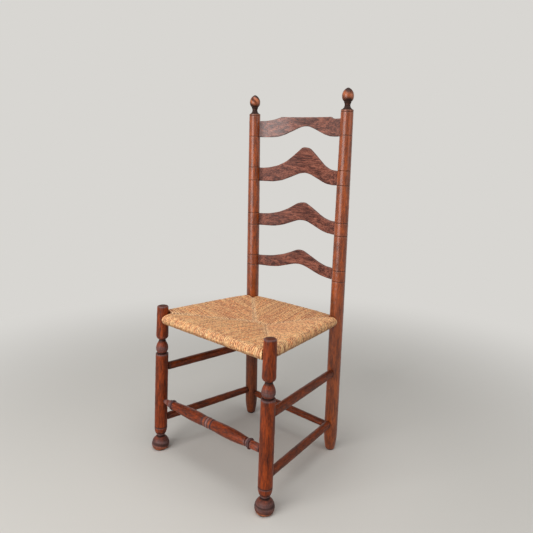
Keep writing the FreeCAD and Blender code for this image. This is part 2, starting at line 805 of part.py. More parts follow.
def rear_post(hand):
    """Rear post: tapered foot, long shaft with the joiner's score lines, and an acorn finial."""
    swell = ("swell",)
    stub = "Sizes.foot_stub"
    lean = derive(f"post_lean_{hand}", leg_lean("Sizes.rear_splay"))
    foot = climb(
        "0",
        ("0", "0"),
        ("Sizes.post_base_radius", "0"),
        ("Sizes.post_base_radius", stub),
        ("Sizes.post_toe_radius", "Sizes.post_toe_rise", swell),
        ("Sizes.post_foot_radius", "Sizes.post_foot_rise", swell),
    )
    belly = Corner(POST, f"{stub} + Sizes.post_belly_height")

    tip = f"(Sizes.overall_height + {stub}) * {lean}"
    shoulder = derive(f"shoulder_{hand}", f"{tip} - {finial_height}")
    run = f"({shoulder} - {stub} - Sizes.post_belly_height)"

    def shaft_radius(height):
        """Radius of the slightly swelled shaft above its belly."""
        share = f"(({height} - {stub} - Sizes.post_belly_height) / {run})"
        taper = f"(Sizes.post_radius - Sizes.post_top_radius) * {share}"
        return f"({POST} - {taper} + 4 * Sizes.post_bulge * {share} * (1 - {share}))"

    marks = {}
    for place in reversed(SLAT_HEIGHTS):
        lower = SLAT_HEIGHTS[place]
        marks[f"{place}_lower"] = f"{lower} + Sizes.score_above_lower_edge"
        if place != "top":
            upper = f"{lower} + Sizes.{place}_slat_end_width"
            marks[f"{place}_upper"] = f"{upper} + Sizes.score_above_upper_edge"
    shaft = []
    for name, mark in marks.items():
        height = derive(f"{name}_mark_{hand}", f"({mark} + {stub}) * {lean}")
        radius = derive(f"{name}_mark_radius_{hand}", shaft_radius(height))
        shaft += score(radius, height)
    shaft += score("Sizes.post_top_radius", shoulder)
    finial = climb(
        shoulder,
        ("Sizes.post_top_radius", "Sizes.shoulder_rim_rise"),
        (
            "(Sizes.post_top_radius - Sizes.shoulder_round)",
            "Sizes.shoulder_round",
            ("arc", "Sizes.shoulder_round", 1),
        ),
        ("Sizes.finial_neck_radius", "Sizes.finial_cove_rise", ("cove",)),
        ("Sizes.finial_collar_radius", "Sizes.finial_flare_rise", ("cove",)),
        ("(Sizes.finial_collar_radius - Sizes.score_depth)", "Sizes.finial_groove_width / 2"),
        ("Sizes.acorn_base_radius", "Sizes.finial_groove_width / 2"),
        ("Sizes.acorn_radius", "Sizes.acorn_lower_rise", ("round", "Sizes.acorn_lower_bulge")),
        ("Sizes.acorn_tip_radius", "Sizes.acorn_upper_rise", ("round", "Sizes.acorn_bulge")),
        ("0", "Sizes.acorn_tip_rise"),
    )
    side = SIDES[hand]
    placement = along(rear_axis(side, f"(-{stub})"), rear_axis(side, "Sizes.post_belly_height"))
    turning = turned(f"rear_post_{hand}_turning", foot + [belly] + shaft + finial, placement)
    entering = ["rear_stretcher", f"upper_side_stretcher_{hand}", f"lower_side_stretcher_{hand}"]
    entering += ["seat_rail_rear", f"seat_rail_{hand}"] + [f"slat_{place}" for place in SLAT_HEIGHTS]
    tools = [pieces[name] for name in entering] + [under_floor]
    pieces[f"rear_post_{hand}"] = cut(f"rear_post_{hand}", turning, tools)


under_floor = floor_box()
for hand in SIDES:
    front_leg(hand)
    rear_post(hand)


# Rush seat: a roll of rush round each rail, and a dished web between them with stuffing inside.
# Its own frame starts in the middle of the front rail, +Y along the seat to the rear rail.

_, seat_y, seat_z = front_left
seat_run = derive("seat_run", f"{rear_left[1]} - {seat_y}")
seat_drop = derive("seat_drop", f"{seat_z} - {rear_left[2]}")
seat_depth = derive("seat_depth", f"hypot({seat_run}; {seat_drop})")
seat_frame = (
    f"placement(vector(0; {seat_y}; {seat_z});"
    f" rotation(vector(1; 0; 0); -atan2({seat_drop}; {seat_run})))"
)
front_half = derive("seat_front_half", front_right[0])
rear_half = derive("seat_rear_half", rear_right[0])
roll_radius = derive("roll_radius", "Sizes.rail_radius + Sizes.rush_thickness")
rim_level = derive("rim_level", f"{roll_radius} - Sizes.rim_step")
CORNERS = [
    (f"-{front_half}", "0"),
    (front_half, "0"),
    (rear_half, seat_depth),
    (f"-{rear_half}", seat_depth),
]
bridge_front = "(Sizes.bridge_from_front - Sizes.bridge_width / 2)"
bridge_back = "(Sizes.bridge_from_front + Sizes.bridge_width / 2)"
BRIDGE = [
    ("-Sizes.bridge_left", bridge_front),
    ("Sizes.bridge_right", bridge_front),
    ("Sizes.bridge_right", bridge_back),
    ("-Sizes.bridge_left", bridge_back),
]


def seat_web():
    """Dished web: from the bridge up to the rim, down its outside, and in again to the bridge."""
    body = doc.addObject("PartDesign::Body", "seat_web")
    levels = [
        ("top", BRIDGE, f"{rim_level} - Sizes.seat_dish"),
        ("rim", CORNERS, rim_level),
        ("hem", CORNERS, f"-{rim_level}"),
        ("belly", BRIDGE, f"{rim_level} - Sizes.seat_dish - Sizes.seat_middle_thickness"),
    ]
    sections = []
    for name, places, level in levels:
        corners = [Corner(x, y) for x, y in places]
        sections.append(draw(body, f"seat_web_{name}", "XY_Plane", corners, level))
    web = body.newObject("PartDesign::AdditiveLoft", "seat_web_loft")
    web.Profile = sections[0]
    web.Sections = sections[1:]
    web.Ruled = True
    body.setExpression("Placement", seat_frame)
    return body


def stuffing(name, start, end, tip, thickness, margin):
    """Flat triangular pad under one panel of the seat, drawn in from the panel's edges.

    start and end are the panel's corners at the rim, and tip is where it meets the bridge.
    """
    dx = f"({end[0]} - ({start[0]}))"
    dy = f"({end[1]} - ({start[1]}))"
    rim = derive(f"{name}_rim", f"hypot({dx}; {dy})")
    tip_dx = f"({tip[0]} - ({start[0]}))"
    tip_dy = f"({tip[1]} - ({start[1]}))"
    tip_along = derive(f"{name}_along", f"({tip_dx} * {dx} + {tip_dy} * {dy}) / {rim}")
    tip_in = derive(f"{name}_in", f"({tip_dy} * {dx} - {tip_dx} * {dy}) / {rim}")
    sag = derive(f"{name}_sag", f"Sizes.seat_dish + Sizes.seat_middle_thickness / 2 - {rim_level}")
    slope = derive(f"{name}_slope", f"hypot({tip_in}; {sag})")
    # The pad is the panel's triangle shrunk towards the middle of its inscribed circle
    far_side = f"hypot({rim} - {tip_along}; {slope})"
    near_side = f"hypot({tip_along}; {slope})"
    around = derive(f"{name}_around", f"{rim} + {far_side} + {near_side}")
    middle_x = derive(f"{name}_x", f"({near_side} * {rim} + {rim} * {tip_along}) / {around}")
    middle_y = derive(f"{name}_y", f"{rim} * {slope} / {around}")
    shrink = derive(f"{name}_shrink", f"1 - ({margin}) / {middle_y}")
    corners = []
    for x, y in (("0", "0"), (rim, "0"), (tip_along, slope)):
        corners.append(
            Corner(
                f"{middle_x} + ({x} - {middle_x}) * {shrink}",
                f"{middle_y} + ({y} - {middle_y}) * {shrink}",
            )
        )
    turned_in = f"placement(vector({start[0]}; {start[1]}; 0); rotation(atan2({dy}; {dx}); 0; 0))"
    tilted = f"placement(vector(0; 0; 0); rotation(vector(1; 0; 0); -atan2({sag}; {tip_in})))"
    return padded(name, "XY_Plane", corners, thickness, f"{seat_frame} * {turned_in} * {tilted}")


bridge_left_end = ("-Sizes.bridge_left", "Sizes.bridge_from_front")
bridge_right_end = ("Sizes.bridge_right", "Sizes.bridge_from_front")
bridge_middle = ("((Sizes.bridge_right - Sizes.bridge_left) / 2)", "Sizes.bridge_from_front")
PANELS = {
    "front": (CORNERS[0], CORNERS[1], bridge_middle),
    "right": (CORNERS[1], CORNERS[2], bridge_right_end),
    "rear": (CORNERS[2], CORNERS[3], bridge_middle),
    "left": (CORNERS[3], CORNERS[0], bridge_left_end),
}


def rush_seat():
    """The rush as one soft solid, clear of the legs, the rails and the stuffing."""
    clear = "Sizes.rush_clearance"
    rolls = []
    hollows = []
    for place, (start, end, _) in RAILS.items():
        rolls.append(rod(f"rush_roll_{place}", roll_radius, start, end))
        hollows.append(rod(f"rail_hollow_{place}", f"Sizes.rail_radius + {clear}", start, end))
    for place, (start, end, tip) in PANELS.items():
        pieces[f"stuffing_{place}"] = stuffing(
            f"stuffing_{place}", start, end, tip, "Sizes.pad_thickness", "Sizes.pad_margin"
        )
        hollows.append(
            stuffing(
                f"stuffing_hollow_{place}",
                start,
                end,
                tip,
                f"Sizes.pad_thickness + 2 * {clear}",
                f"Sizes.pad_margin - {clear}",
            )
        )
    for hand, side in SIDES.items():
        for name, axis, radius in (("leg", front_axis, CAP), ("post", rear_axis, POST)):
            low = axis(side, f"({rear_rail_height} - 3 * {roll_radius})")
            high = axis(side, f"({side_rail_front} + 3 * {roll_radius})")
            hollows.append(rod(f"{name}_hollow_{hand}", f"{radius} + {clear}", low, high))
    whole = doc.addObject("Part::MultiFuse", "rush_whole")
    whole.Shapes = rolls + [seat_web()]
    pieces["rush_seat"] = cut("rush_seat", whole, hollows)


rush_seat()

doc.recompute()

for item in doc.Objects:
    if "Invalid" in item.State or "Error" in item.State:
        raise RuntimeError(f"{item.Name} failed: {item.State}")

os.makedirs("parts", exist_ok=True)
for label, piece in pieces.items():
    piece.Label = label
    shape = piece.Shape
    if shape.isNull() or not shape.isValid() or len(shape.Solids) != 1:
        raise RuntimeError(f"{label} is not one valid solid")
    shape.exportStep(f"parts/{label}.step")

whole_box = FreeCAD.BoundBox()
for piece in pieces.values():
    whole_box.add(piece.Shape.BoundBox)
print(f"{len(pieces)} pieces, box x {whole_box.XMin:.1f} to {whole_box.XMax:.1f},"
      f" y {whole_box.YMin:.1f} to {whole_box.YMax:.1f}, z {whole_box.ZMin:.2f} to {whole_box.ZMax:.1f}")
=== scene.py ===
"""Ladder-back side chair: turned and stained frame, four bowed slats and a woven rush seat.

Sizes are in millimetres as a maker would mark them out, and every finished mesh is in metres.
+X is to the right of someone who faces the chair's front, +Y to the back and +Z up.
"""

from math import asin, atan, cos, hypot, radians, sin, tan

import bpy
import numpy as np
from mathutils import Matrix, Vector


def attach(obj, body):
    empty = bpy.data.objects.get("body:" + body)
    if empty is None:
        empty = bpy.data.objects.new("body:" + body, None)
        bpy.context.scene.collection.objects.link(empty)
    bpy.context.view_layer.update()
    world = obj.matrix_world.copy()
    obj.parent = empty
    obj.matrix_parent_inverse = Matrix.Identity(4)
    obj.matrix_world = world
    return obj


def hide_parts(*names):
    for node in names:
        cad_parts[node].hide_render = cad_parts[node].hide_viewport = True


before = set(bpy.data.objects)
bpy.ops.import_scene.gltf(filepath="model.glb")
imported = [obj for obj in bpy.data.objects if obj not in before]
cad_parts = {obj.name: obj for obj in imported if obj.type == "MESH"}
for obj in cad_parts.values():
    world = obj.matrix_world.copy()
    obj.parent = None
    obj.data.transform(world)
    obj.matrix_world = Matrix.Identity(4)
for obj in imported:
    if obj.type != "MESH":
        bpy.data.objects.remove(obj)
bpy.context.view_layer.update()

# Setting out

SIDES = {"left": -1, "right": 1}
MM = 0.001
# Heights of the whole chair and of the front and rear seat rails' axes, and how far the side
# rails lie over these at each end
HEIGHT = 1143.0
SEAT_RAIL = 414.0
REAR_RAIL = 412.0
SIDE_LIFT = (8.0, 3.5)
# Radius of the front legs and of the rear posts, which is reached at the belly's height
LEG = 19.8
POST = 21.5
BELLY = 450.0
# Height of a post's finial, and how far each front leg stands over the seat rails
FINIAL = 75.7
LEG_TOPS = {"left": 41.7, "right": 48.9}
# Where the axes of leg and post meet the floor, how far they splay, and how far all leans back
FRONT_FOOT = (222.5, -207.175)
REAR_FOOT = (173.0, 157.825)
FRONT_SPLAY = 0.0078
REAR_SPLAY = 0.0209
RAKE = 0.0242
SIDE_STRETCHERS = {
    # height at the leg and at the post, radius in the middle and at the ends, and seed
    "upper": (257.0, 249.8, 12.7, 12.0, 61),
    "lower": (95.0, 87.2, 11.6, 10.9, 81),
}
SLAT_SIZES = {
    # lower edge, width at the ends, rise of the lower edge, rise of the crest, bow, and reach of
    # the crest's rounding to the left and right; the top slat is sawn off
    "top": (992.5, 57.0, 37.2, 0.0, 46.0, 0.0, 0.0),
    "second": (837.03, 47.5, 34.5, 74.5, 48.0, 9.0, 16.5),
    "third": (679.97, 42.0, 30.0, 49.0, 46.0, 16.5, 9.0),
    "lowest": (537.5, 35.3, 23.0, 36.7, 36.0, 9.0, 9.0),
}


def axis_point(foot, splay, side, height):
    """Point at a height over the floor on an axis that splays outwards and leans back."""
    return np.array([side * (foot[0] + splay * height), foot[1] + RAKE * height, height])


def front_axis(side, height):
    """Point of a front leg's axis at a height over the floor."""
    return axis_point(FRONT_FOOT, FRONT_SPLAY, side, height)


def rear_axis(side, height):
    """Point of a rear post's axis at a height over the floor."""
    return axis_point(REAR_FOOT, REAR_SPLAY, side, height)


def axes(start, end):
    """Three unit directions of a piece as rows: across, across and along it."""
    along = (end - start) / np.linalg.norm(end - start)
    across = np.cross([0.0, 1.0, 0.0], along)
    across /= np.linalg.norm(across)
    return np.array([across, np.cross(along, across), along])


# Meshes


def new_object(name, data):
    """Object for a mesh, a lamp or a camera, put into the scene."""
    made = bpy.data.objects.new(name, data)
    bpy.context.scene.collection.objects.link(made)
    return made


def shell(name, grid, paint, uv=None, hubs=None):
    """Closed skin over a grid of points: loops along the first index, each closed along the second.

    Each end is a fan from its last loop to a hub, which is the loop's middle unless it is given.
    """
    loops, around = grid.shape[:2]
    points = np.vstack([grid.reshape(-1, 3), *(hubs or [grid[0].mean(0), grid[-1].mean(0)])])
    index = np.arange(loops * around).reshape(loops, around)
    after = np.roll(index, -1, axis=1)
    quads = np.stack([index[:-1], after[:-1], after[1:], index[1:]], -1).reshape(-1, 4)
    first = np.stack([np.full(around, loops * around), after[0], index[0]], -1)
    last = np.stack([np.full(around, loops * around + 1), index[-1], after[-1]], -1)
    centre = points.mean(0)
    a, b, c, d = (points[quads[:, k]] - centre for k in range(4))
    if (np.cross(b - a, d - a) * a).sum() + (np.cross(d - c, b - c) * c).sum() < 0:
        quads, first, last = quads[:, ::-1], first[:, ::-1], last[:, ::-1]
    mesh = bpy.data.meshes.new(name)
    mesh.from_pydata((points * MM).tolist(), [], quads.tolist() + first.tolist() + last.tolist())
    mesh.polygons.foreach_set("use_smooth", np.ones(len(mesh.polygons), bool))
    for label, values in paint.items():
        values = np.append(values.ravel(), [values[0].mean(), values[-1].mean()])
        layer = mesh.attributes.new(label, "FLOAT", "POINT")
        layer.data.foreach_set("value", values.astype(np.float32))
    if uv is not None:
        corner = np.empty(len(mesh.loops), np.int32)
        mesh.loops.foreach_get("vertex_index", corner)
        flat = np.vstack([uv.reshape(-1, 2), uv[0].mean(0), uv[-1].mean(0)])
        mesh.uv_layers.new(name="UVMap").data.foreach_set("uv", flat[corner].astype(np.float32).ravel())
    mesh.update()
    return new_object(name, mesh)


def ripple(across, along, seed, reach=60.0):
    """Smooth irregularity of about -1 to 1: slanted sine waves added up.

    across is an angle, round which each wave fits a whole number of times, and along is in
    millimetres; reach is the longest wave.
    """
    dice = np.random.default_rng(seed)
    total = 0.0
    for _ in range(9):
        turns = dice.integers(0, 5)
        pitch = dice.uniform(0.2, 1.0) * reach
        total = total + np.sin(turns * across + 2 * np.pi * along / pitch + dice.uniform(0, 6.3))
    return total / 4.5


def patches(across, along, seed, reach):
    """The same irregularity as shares of about 0 to 1."""
    return 0.5 + 0.5 * ripple(across, along, seed, reach)


def unit(values):
    """Values kept within 0 to 1."""
    return np.clip(values, 0, 1)


def bell(values, centre, width):
    """1 at the centre, falling off as a bell curve."""
    return np.exp(-(((values - centre) / width) ** 2))


def bands(level, *rows):
    """Bell curves along a piece added up, each given by its strength, its level and its width."""
    return sum(strength * bell(level, centre, width) for strength, centre, width in rows)


# Turned pieces


def outline(level, *steps):
    """Outline of a turned piece as rows of radius and level.

    Each step is a radius, a rise and maybe a form: "swell" is an arc that stands upright at its
    wide end, "cove" one that stands upright at its narrow end, and a number is how far an arc
    swells over its chord. Without a form the step is straight.
    """
    rows = [np.array([[steps[0][0], level + steps[0][1]]])]
    part = np.linspace(0, 1, 17)[1:, None]
    for radius, rise, *form in steps[1:]:
        near = rows[-1][-1]
        far = np.array([radius, near[1] + rise])
        move = far - near
        change = abs(move[0])
        upright = form and form[0] in ("swell", "cove")
        if not form or (upright and change < 1e-6):
            rows.append(near + part * move)
        elif upright:
            # The arc turns from its upright end, whose radius is the arc's widest or narrowest
            sign = 1 if form[0] == "swell" else -1
            big = (rise**2 + change**2) / (2 * change)
            at_far_end = move[0] * sign > 0
            angle = asin(min(1, rise / big)) * (1 - part if at_far_end else part)
            edge = far if at_far_end else near
            back = -1 if at_far_end else 1
            rows.append(edge + big * np.hstack([-sign * (1 - np.cos(angle)), back * np.sin(angle)]))
        else:
            bulge = form[0]
            chord = hypot(*move)
            big = (chord**2 / 4 + bulge**2) / (2 * bulge)
            angle = asin(min(1, chord / 2 / big)) * (2 * part - 1)
            along = move / chord
            out = np.array([along[1], -along[0]])
            over = out * (big * np.cos(angle) - big + bulge)
            rows.append(near + move / 2 + along * big * np.sin(angle) + over)
    return np.vstack(rows)


# Step of the evened outline, and the reach over which its edges are worn round
FINE = 0.35
EASE = 0.5


def evened(values, weights):
    """Each value averaged with its surroundings, by an odd number of weights."""
    return np.convolve(np.pad(values, len(weights) // 2, "edge"), weights, "valid")


def worn(rows):
    """The outline with its sharp turns worn round: evenly spaced, then averaged over a short reach."""
    run = np.append(0, np.cumsum(np.hypot(*np.diff(rows, axis=0).T)))
    keep = np.append(True, np.diff(run) > 1e-9)
    even = np.linspace(0, run[-1], int(run[-1] / FINE) + 1)
    rows = np.stack([np.interp(even, run[keep], column) for column in rows[keep].T], -1)
    reach = int(3 * EASE / FINE)
    weights = np.exp(-0.5 * (np.arange(-reach, reach + 1) * FINE / EASE) ** 2)
    weights /= weights.sum()
    soft = np.stack([evened(column, weights) for column in rows.T], -1)
    soft[0], soft[-1] = rows[0], rows[-1]
    return soft


def hollow_depth(rows, reach):
    """How far each point of an outline lies inside the average of its surroundings."""
    count = int(reach / FINE)
    return evened(rows[:, 0], np.ones(2 * count + 1) / (2 * count + 1)) - rows[:, 0]


def turned(name, rows, start, end, rings, around, seed, marks, dents=None, crooked=0.14):
    """Turned piece: the worn outline carried round the line from start to end.

    marks gives extra dirt, painted shade, wear and bare wood as a function of angle and level, and
    dents takes wood away in the same way. crooked is how far the surface strays from round.
    """
    rows = worn(rows)
    place = np.arange(len(rows))
    # How sharply the outline turns, evened over nine points, sets how close the rings lie
    turn = np.abs(np.gradient(np.arctan2(np.gradient(rows[:, 0]), np.gradient(rows[:, 1]))))
    turn = evened(turn, np.ones(9) / 9)
    share = np.append(0, np.cumsum(0.1 + np.clip(turn[1:] * 6, 0, 1.4)))
    pick = np.interp(np.linspace(0, share[-1], rings), share, place)
    groove = unit(hollow_depth(rows, 4.0) / 1.1) ** 0.8
    crest = unit(-hollow_depth(rows, 5.0) / 1.2)
    picked = np.stack([np.interp(pick, place, v) for v in (*rows.T, groove, crest)])
    # An end that runs to a point is left to the hub
    keep = picked[0] > 0.05
    keep[1:-1] = True
    radius, level, groove, crest = picked[:, keep, None]
    angle = np.linspace(0, 2 * np.pi, around, endpoint=False)[None]
    z = level + 0 * angle
    rough = crooked * ripple(angle, z, seed) * np.clip(radius / 14, 0.2, 1.2)
    r = np.maximum(radius + rough, 0.02)
    if dents:
        r = r - dents(angle, z)
    local = np.stack([r * np.cos(angle), r * np.sin(angle), z], -1)
    grid = start + local @ axes(start, end)
    grid[..., 2] = np.maximum(grid[..., 2], 0)
    patch = patches(angle, z, seed + 50, 34.0)
    paint = {
        # Dirt and painted shade in the grooves, where the outline lies inside its surroundings
        "grime_and_shade": groove * (0.75 + 0.25 * patch),
        "wear": crest * unit(1.5 * patch - 0.2),
        "bare": 0 * z,
    }
    for label, values in marks(angle, z).items():
        paint[label] = unit(paint[label] + values)
    return shell(name, grid, paint)


def finish_piece(piece, material, slot, *nodes):
    """Give a new piece its finish, and let it ride and stand for its nodes."""
    piece.data.materials.append(material)
    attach(piece, "root")
    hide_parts(*nodes)


# Finishes


def tint(*screen):
    """Red, green and blue as they show on a screen, turned into amounts of light."""
    parts = [c / 255 for c in screen]
    return [c / 12.92 if c < 0.04 else ((c + 0.055) / 1.055) ** 2.4 for c in parts] + [1.0]


class Bench:
    """A node tree with short ways to add the few kinds of node that the finishes use."""

    def __init__(self, tree):
        self.tree = tree

    def add(self, kind, inputs=None, **settings):
        """New node with its settings and its linked or plain inputs; gives its outputs."""
        made = self.tree.nodes.new("ShaderNode" + kind)
        for key, value in settings.items():
            setattr(made, key, value)
        for key, value in (inputs or {}).items():
            if isinstance(value, bpy.types.NodeSocket):
                self.tree.links.new(value, made.inputs[key])
            else:
                made.inputs[key].default_value = value
        return made.outputs

    def math(self, operation, *values):
        return self.add("Math", dict(enumerate(values)), operation=operation)[0]

    def times(self, first, second):
        return self.math("MULTIPLY", first, second)

    def range(self, value, low, high, to_low=0.0, to_high=1.0):
        """Smooth step from low to high, onto the range from to_low to to_high."""
        inputs = dict(enumerate((value, low, high, to_low, to_high)))
        return self.add("MapRange", inputs, interpolation_type="SMOOTHSTEP")[0]

    def mix(self, share, first, second):
        """A share of the second colour over the first one."""
        return self.add("Mix", {0: share, 6: first, 7: second}, data_type="RGBA")[2]

    def stretch(self, vector, x, y, z):
        return self.add("VectorMath", {0: vector, 1: (x, y, z)}, operation="MULTIPLY")[0]

    def join(self, x, y, z=0.0):
        return self.add("CombineXYZ", {"X": x, "Y": y, "Z": z})[0]

    def noise(self, vector, scale, detail, roughness=0.55):
        inputs = {"Vector": vector, "Scale": scale, "Detail": detail, "Roughness": roughness}
        return self.add("TexNoise", inputs)["Fac"]

    def dice(self, number):
        """Random share that stays the same for a number."""
        return self.add("TexWhiteNoise", {"W": number}, noise_dimensions="1D")["Value"]

    def painted(self, name):
        """Value painted on the mesh."""
        return self.add("Attribute", attribute_name=name)["Fac"]

    def finish(self, surface, kind="OutputMaterial"):
        """Output node for the finished surface."""
        self.add(kind, {"Surface": surface})


def node_bench(owner):
    """Bench on the emptied node tree of a material or a world."""
    owner.use_nodes = True
    owner.node_tree.nodes.clear()
    return Bench(owner.node_tree)


def new_group(name, takes, gives):
    """Empty node group: takes and gives are names with their kinds of socket."""
    tree = bpy.data.node_groups.new(name, "ShaderNodeTree")
    for way, sockets in (("INPUT", takes), ("OUTPUT", gives)):
        for label, kind in sockets.items():
            tree.interface.new_socket(label, in_out=way, socket_type="NodeSocket" + kind)
    bench = Bench(tree)
    return bench, tree.nodes.new("NodeGroupInput").outputs, tree.nodes.new("NodeGroupOutput").inputs


def fibre_group():
    """Wood figure from a place in the piece's own frame, with the grain along its Z."""
    bench, given, out = new_group(
        "wood_fibre",
        {"Place": "Vector", "Coarse": "Float"},
        {"Tone": "Float", "Streak": "Float", "Pores": "Float", "Flecks": "Float"},
    )
    place = given["Place"]
    warp = bench.noise(bench.stretch(place, 1, 1, 0.3), 9.0, 2.0)
    shift = bench.join(bench.times(warp, 0.02), 0.0)
    bent = bench.add("VectorMath", {0: place, 1: shift}, operation="ADD")[0]
    tone = bench.noise(bench.stretch(bent, 1, 1, 0.22), 80.0, 4.0, 0.6)
    fine = bench.times(given["Coarse"], 420.0)
    streak = bench.noise(bench.stretch(bent, 1, 1, 0.09), fine, 4.0, 0.65)
    dash = bench.noise(bench.stretch(bent, 1, 1, 0.1), bench.times(fine, 2.0), 2.0, 0.5)
    flecks = bench.noise(bench.stretch(bent, 1, 1, 0.45), bench.times(fine, 0.7), 2.0, 0.6)
    results = {"Tone": tone, "Streak": streak, "Pores": bench.range(dash, 0.54, 0.66), "Flecks": flecks}
    for label, value in results.items():
        bench.tree.links.new(value, out[label])
    return bench.tree


def nick_group():
    """Scattered dark dots and small light chips, from a place on the piece."""
    bench, given, out = new_group("nicks", {"Place": "Vector"}, {"Dots": "Float", "Chips": "Float"})
    place = bench.stretch(given["Place"], 1, 1, 0.6)
    for label, scale, share, size in (("Dots", 46.0, 0.22, 0.12), ("Chips", 38.0, 0.2, 0.085)):
        cells = bench.add("TexVoronoi", {"Vector": place, "Scale": scale})
        red = bench.add("SeparateColor", {0: cells["Color"]})[0]
        here = bench.math("LESS_THAN", red, share)
        spot = bench.range(cells["Distance"], size, size * 0.45)
        bench.tree.links.new(bench.times(here, spot), out[label])
        place = bench.stretch(given["Place"], 1.13, 0.9, 0.7)
    return bench.tree


FIBRE = fibre_group()
NICKS = nick_group()
# How far the figure of the wood moves along a piece for one whole roll
FIGURE_RUN = 700.0


def wood(
    name, start, end, stain,
    coarse=1.0, open_grain=0.25, flecks=0.6, roughness=0.4, coat=0.06, specular=0.2, roll=0.0,
):
    """Stained and waxed wood whose grain runs from start to end of its piece.

    stain holds its colours: light, middle and deep as the stain's three depths, worn for the
    greyish bloom on what stands out, one for the dirt in hollows and for painted shade,
    and raw for bare wood.
    coarse widens the figure, open_grain and flecks are the strengths of dark pores and of flecks,
    coat is the share of varnish, specular the wood's own shine, and roll moves the figure along,
    so that no two pieces look the same.
    """
    material = bpy.data.materials.new(name)
    bench = node_bench(material)
    turning = axes(start, end)
    inputs = {
        "Vector": bench.add("TexCoord")["Object"],
        "Location": Vector((start - turning[2] * FIGURE_RUN * roll) * MM),
        "Rotation": Matrix(turning).transposed().to_euler(),
    }
    place = bench.add("Mapping", inputs, vector_type="TEXTURE")[0]
    figure = bench.add("Group", {"Place": place, "Coarse": 1.0 / coarse}, node_tree=FIBRE)
    spots = bench.add("Group", {"Place": place}, node_tree=NICKS)
    tone = bench.range(figure["Tone"], 0.3, 0.72)
    streak = bench.range(figure["Streak"], 0.32, 0.68)
    pores = bench.times(figure["Pores"], open_grain)
    wear = bench.times(bench.painted("wear"), bench.range(figure["Streak"], 0.3, 0.6, 0.55))
    bare = bench.times(bench.painted("bare"), bench.range(figure["Tone"], 0.25, 0.55, 0.5))
    # This mask holds dirt and painted shade: contact shadows at the floor, shade in grooves, under the
    # seat and along the slats' lower edges
    grime_and_shade = bench.times(bench.painted("grime_and_shade"), bench.range(figure["Streak"], 0.2, 0.6, 0.85))
    layers = [
        (bench.times(streak, bench.range(tone, 0.0, 1.0, 0.35, 0.8)), "light"),
        (bench.range(figure["Flecks"], 0.46, 0.3, 0.0, 0.7 * flecks), "light"),
        (bench.range(figure["Flecks"], 0.53, 0.68, 0.0, flecks), "deep"),
        (pores, "dirt_and_shade"),
        (bench.times(spots["Chips"], 0.55), "raw"),
        (bench.times(spots["Dots"], 0.75), "dirt_and_shade"),
        (bench.times(wear, 0.85), "worn"),
        (bare, "raw"),
        (grime_and_shade, "dirt_and_shade"),
    ]
    colour = bench.mix(tone, stain["deep"], stain["middle"])
    for share, shade in layers:
        colour = bench.mix(share, colour, stain[shade])
    rough = bench.range(streak, 0, 1, roughness - 0.04, roughness + 0.08)
    for share, more in ((wear, 0.14), (grime_and_shade, 0.2)):
        rough = bench.math("ADD", rough, bench.times(share, more))
    height = bench.times(streak, 0.5)
    for share, depth in ((pores, 1.6), (spots["Dots"], 2.0)):
        height = bench.math("SUBTRACT", height, bench.times(share, depth))
    bump = bench.add("Bump", {"Strength": 0.35, "Distance": 0.0004, "Height": height})[0]
    surface = {
        "Base Color": colour,
        "Roughness": rough,
        "Normal": bump,
        "Specular IOR Level": specular,
        "Coat Weight": bench.times(coat, bench.math("SUBTRACT", 1.0, grime_and_shade)),
        "Coat Roughness": 0.26,
    }
    bench.finish(bench.add("BsdfPrincipled", surface)[0])
    return material


def palette(light, middle, deep, worn=(128, 94, 90), dirt_and_shade=(36, 20, 16), raw=(198, 112, 64)):
    """Colours of a stain, written as they show on a screen."""
    shades = {"light": light, "middle": middle, "deep": deep, "worn": worn, "dirt_and_shade": dirt_and_shade, "raw": raw}
    return {name: tint(*shade) for name, shade in shades.items()}


POST_STAIN = palette((182, 88, 26), (138, 58, 12), (76, 28, 8), worn=(152, 112, 92), dirt_and_shade=(40, 22, 16))
LEG_STAIN = palette((168, 72, 20), (110, 38, 8), (50, 14, 5), worn=(98, 80, 80), raw=(206, 122, 76))
ROD_STAIN = palette((154, 68, 24), (98, 38, 12), (46, 16, 7))
FRONT_ROD_STAIN = palette(
    (160, 68, 20), (102, 34, 10), (50, 16, 7), worn=(140, 108, 104), dirt_and_shade=(48, 42, 48)
)
SLAT_STAIN = palette(
    (172, 110, 90), (112, 60, 48), (50, 24, 24), worn=(160, 116, 104), dirt_and_shade=(34, 18, 20)
)


# Legs, posts and stretchers


def score(radius, level):
    """Rows of radius and level of a line cut in and out again at 45 degrees."""
    cut = 0.9
    return [(radius, level - cut), (radius - cut, level), (radius, level + cut)]


def ladder(levels):
    """Turns rows of radius and level into steps that rise from one to the next."""
    bases = [0.0, *(level for _, level in levels)]
    return [(radius, level - base) for (radius, level), base in zip(levels, bases)]


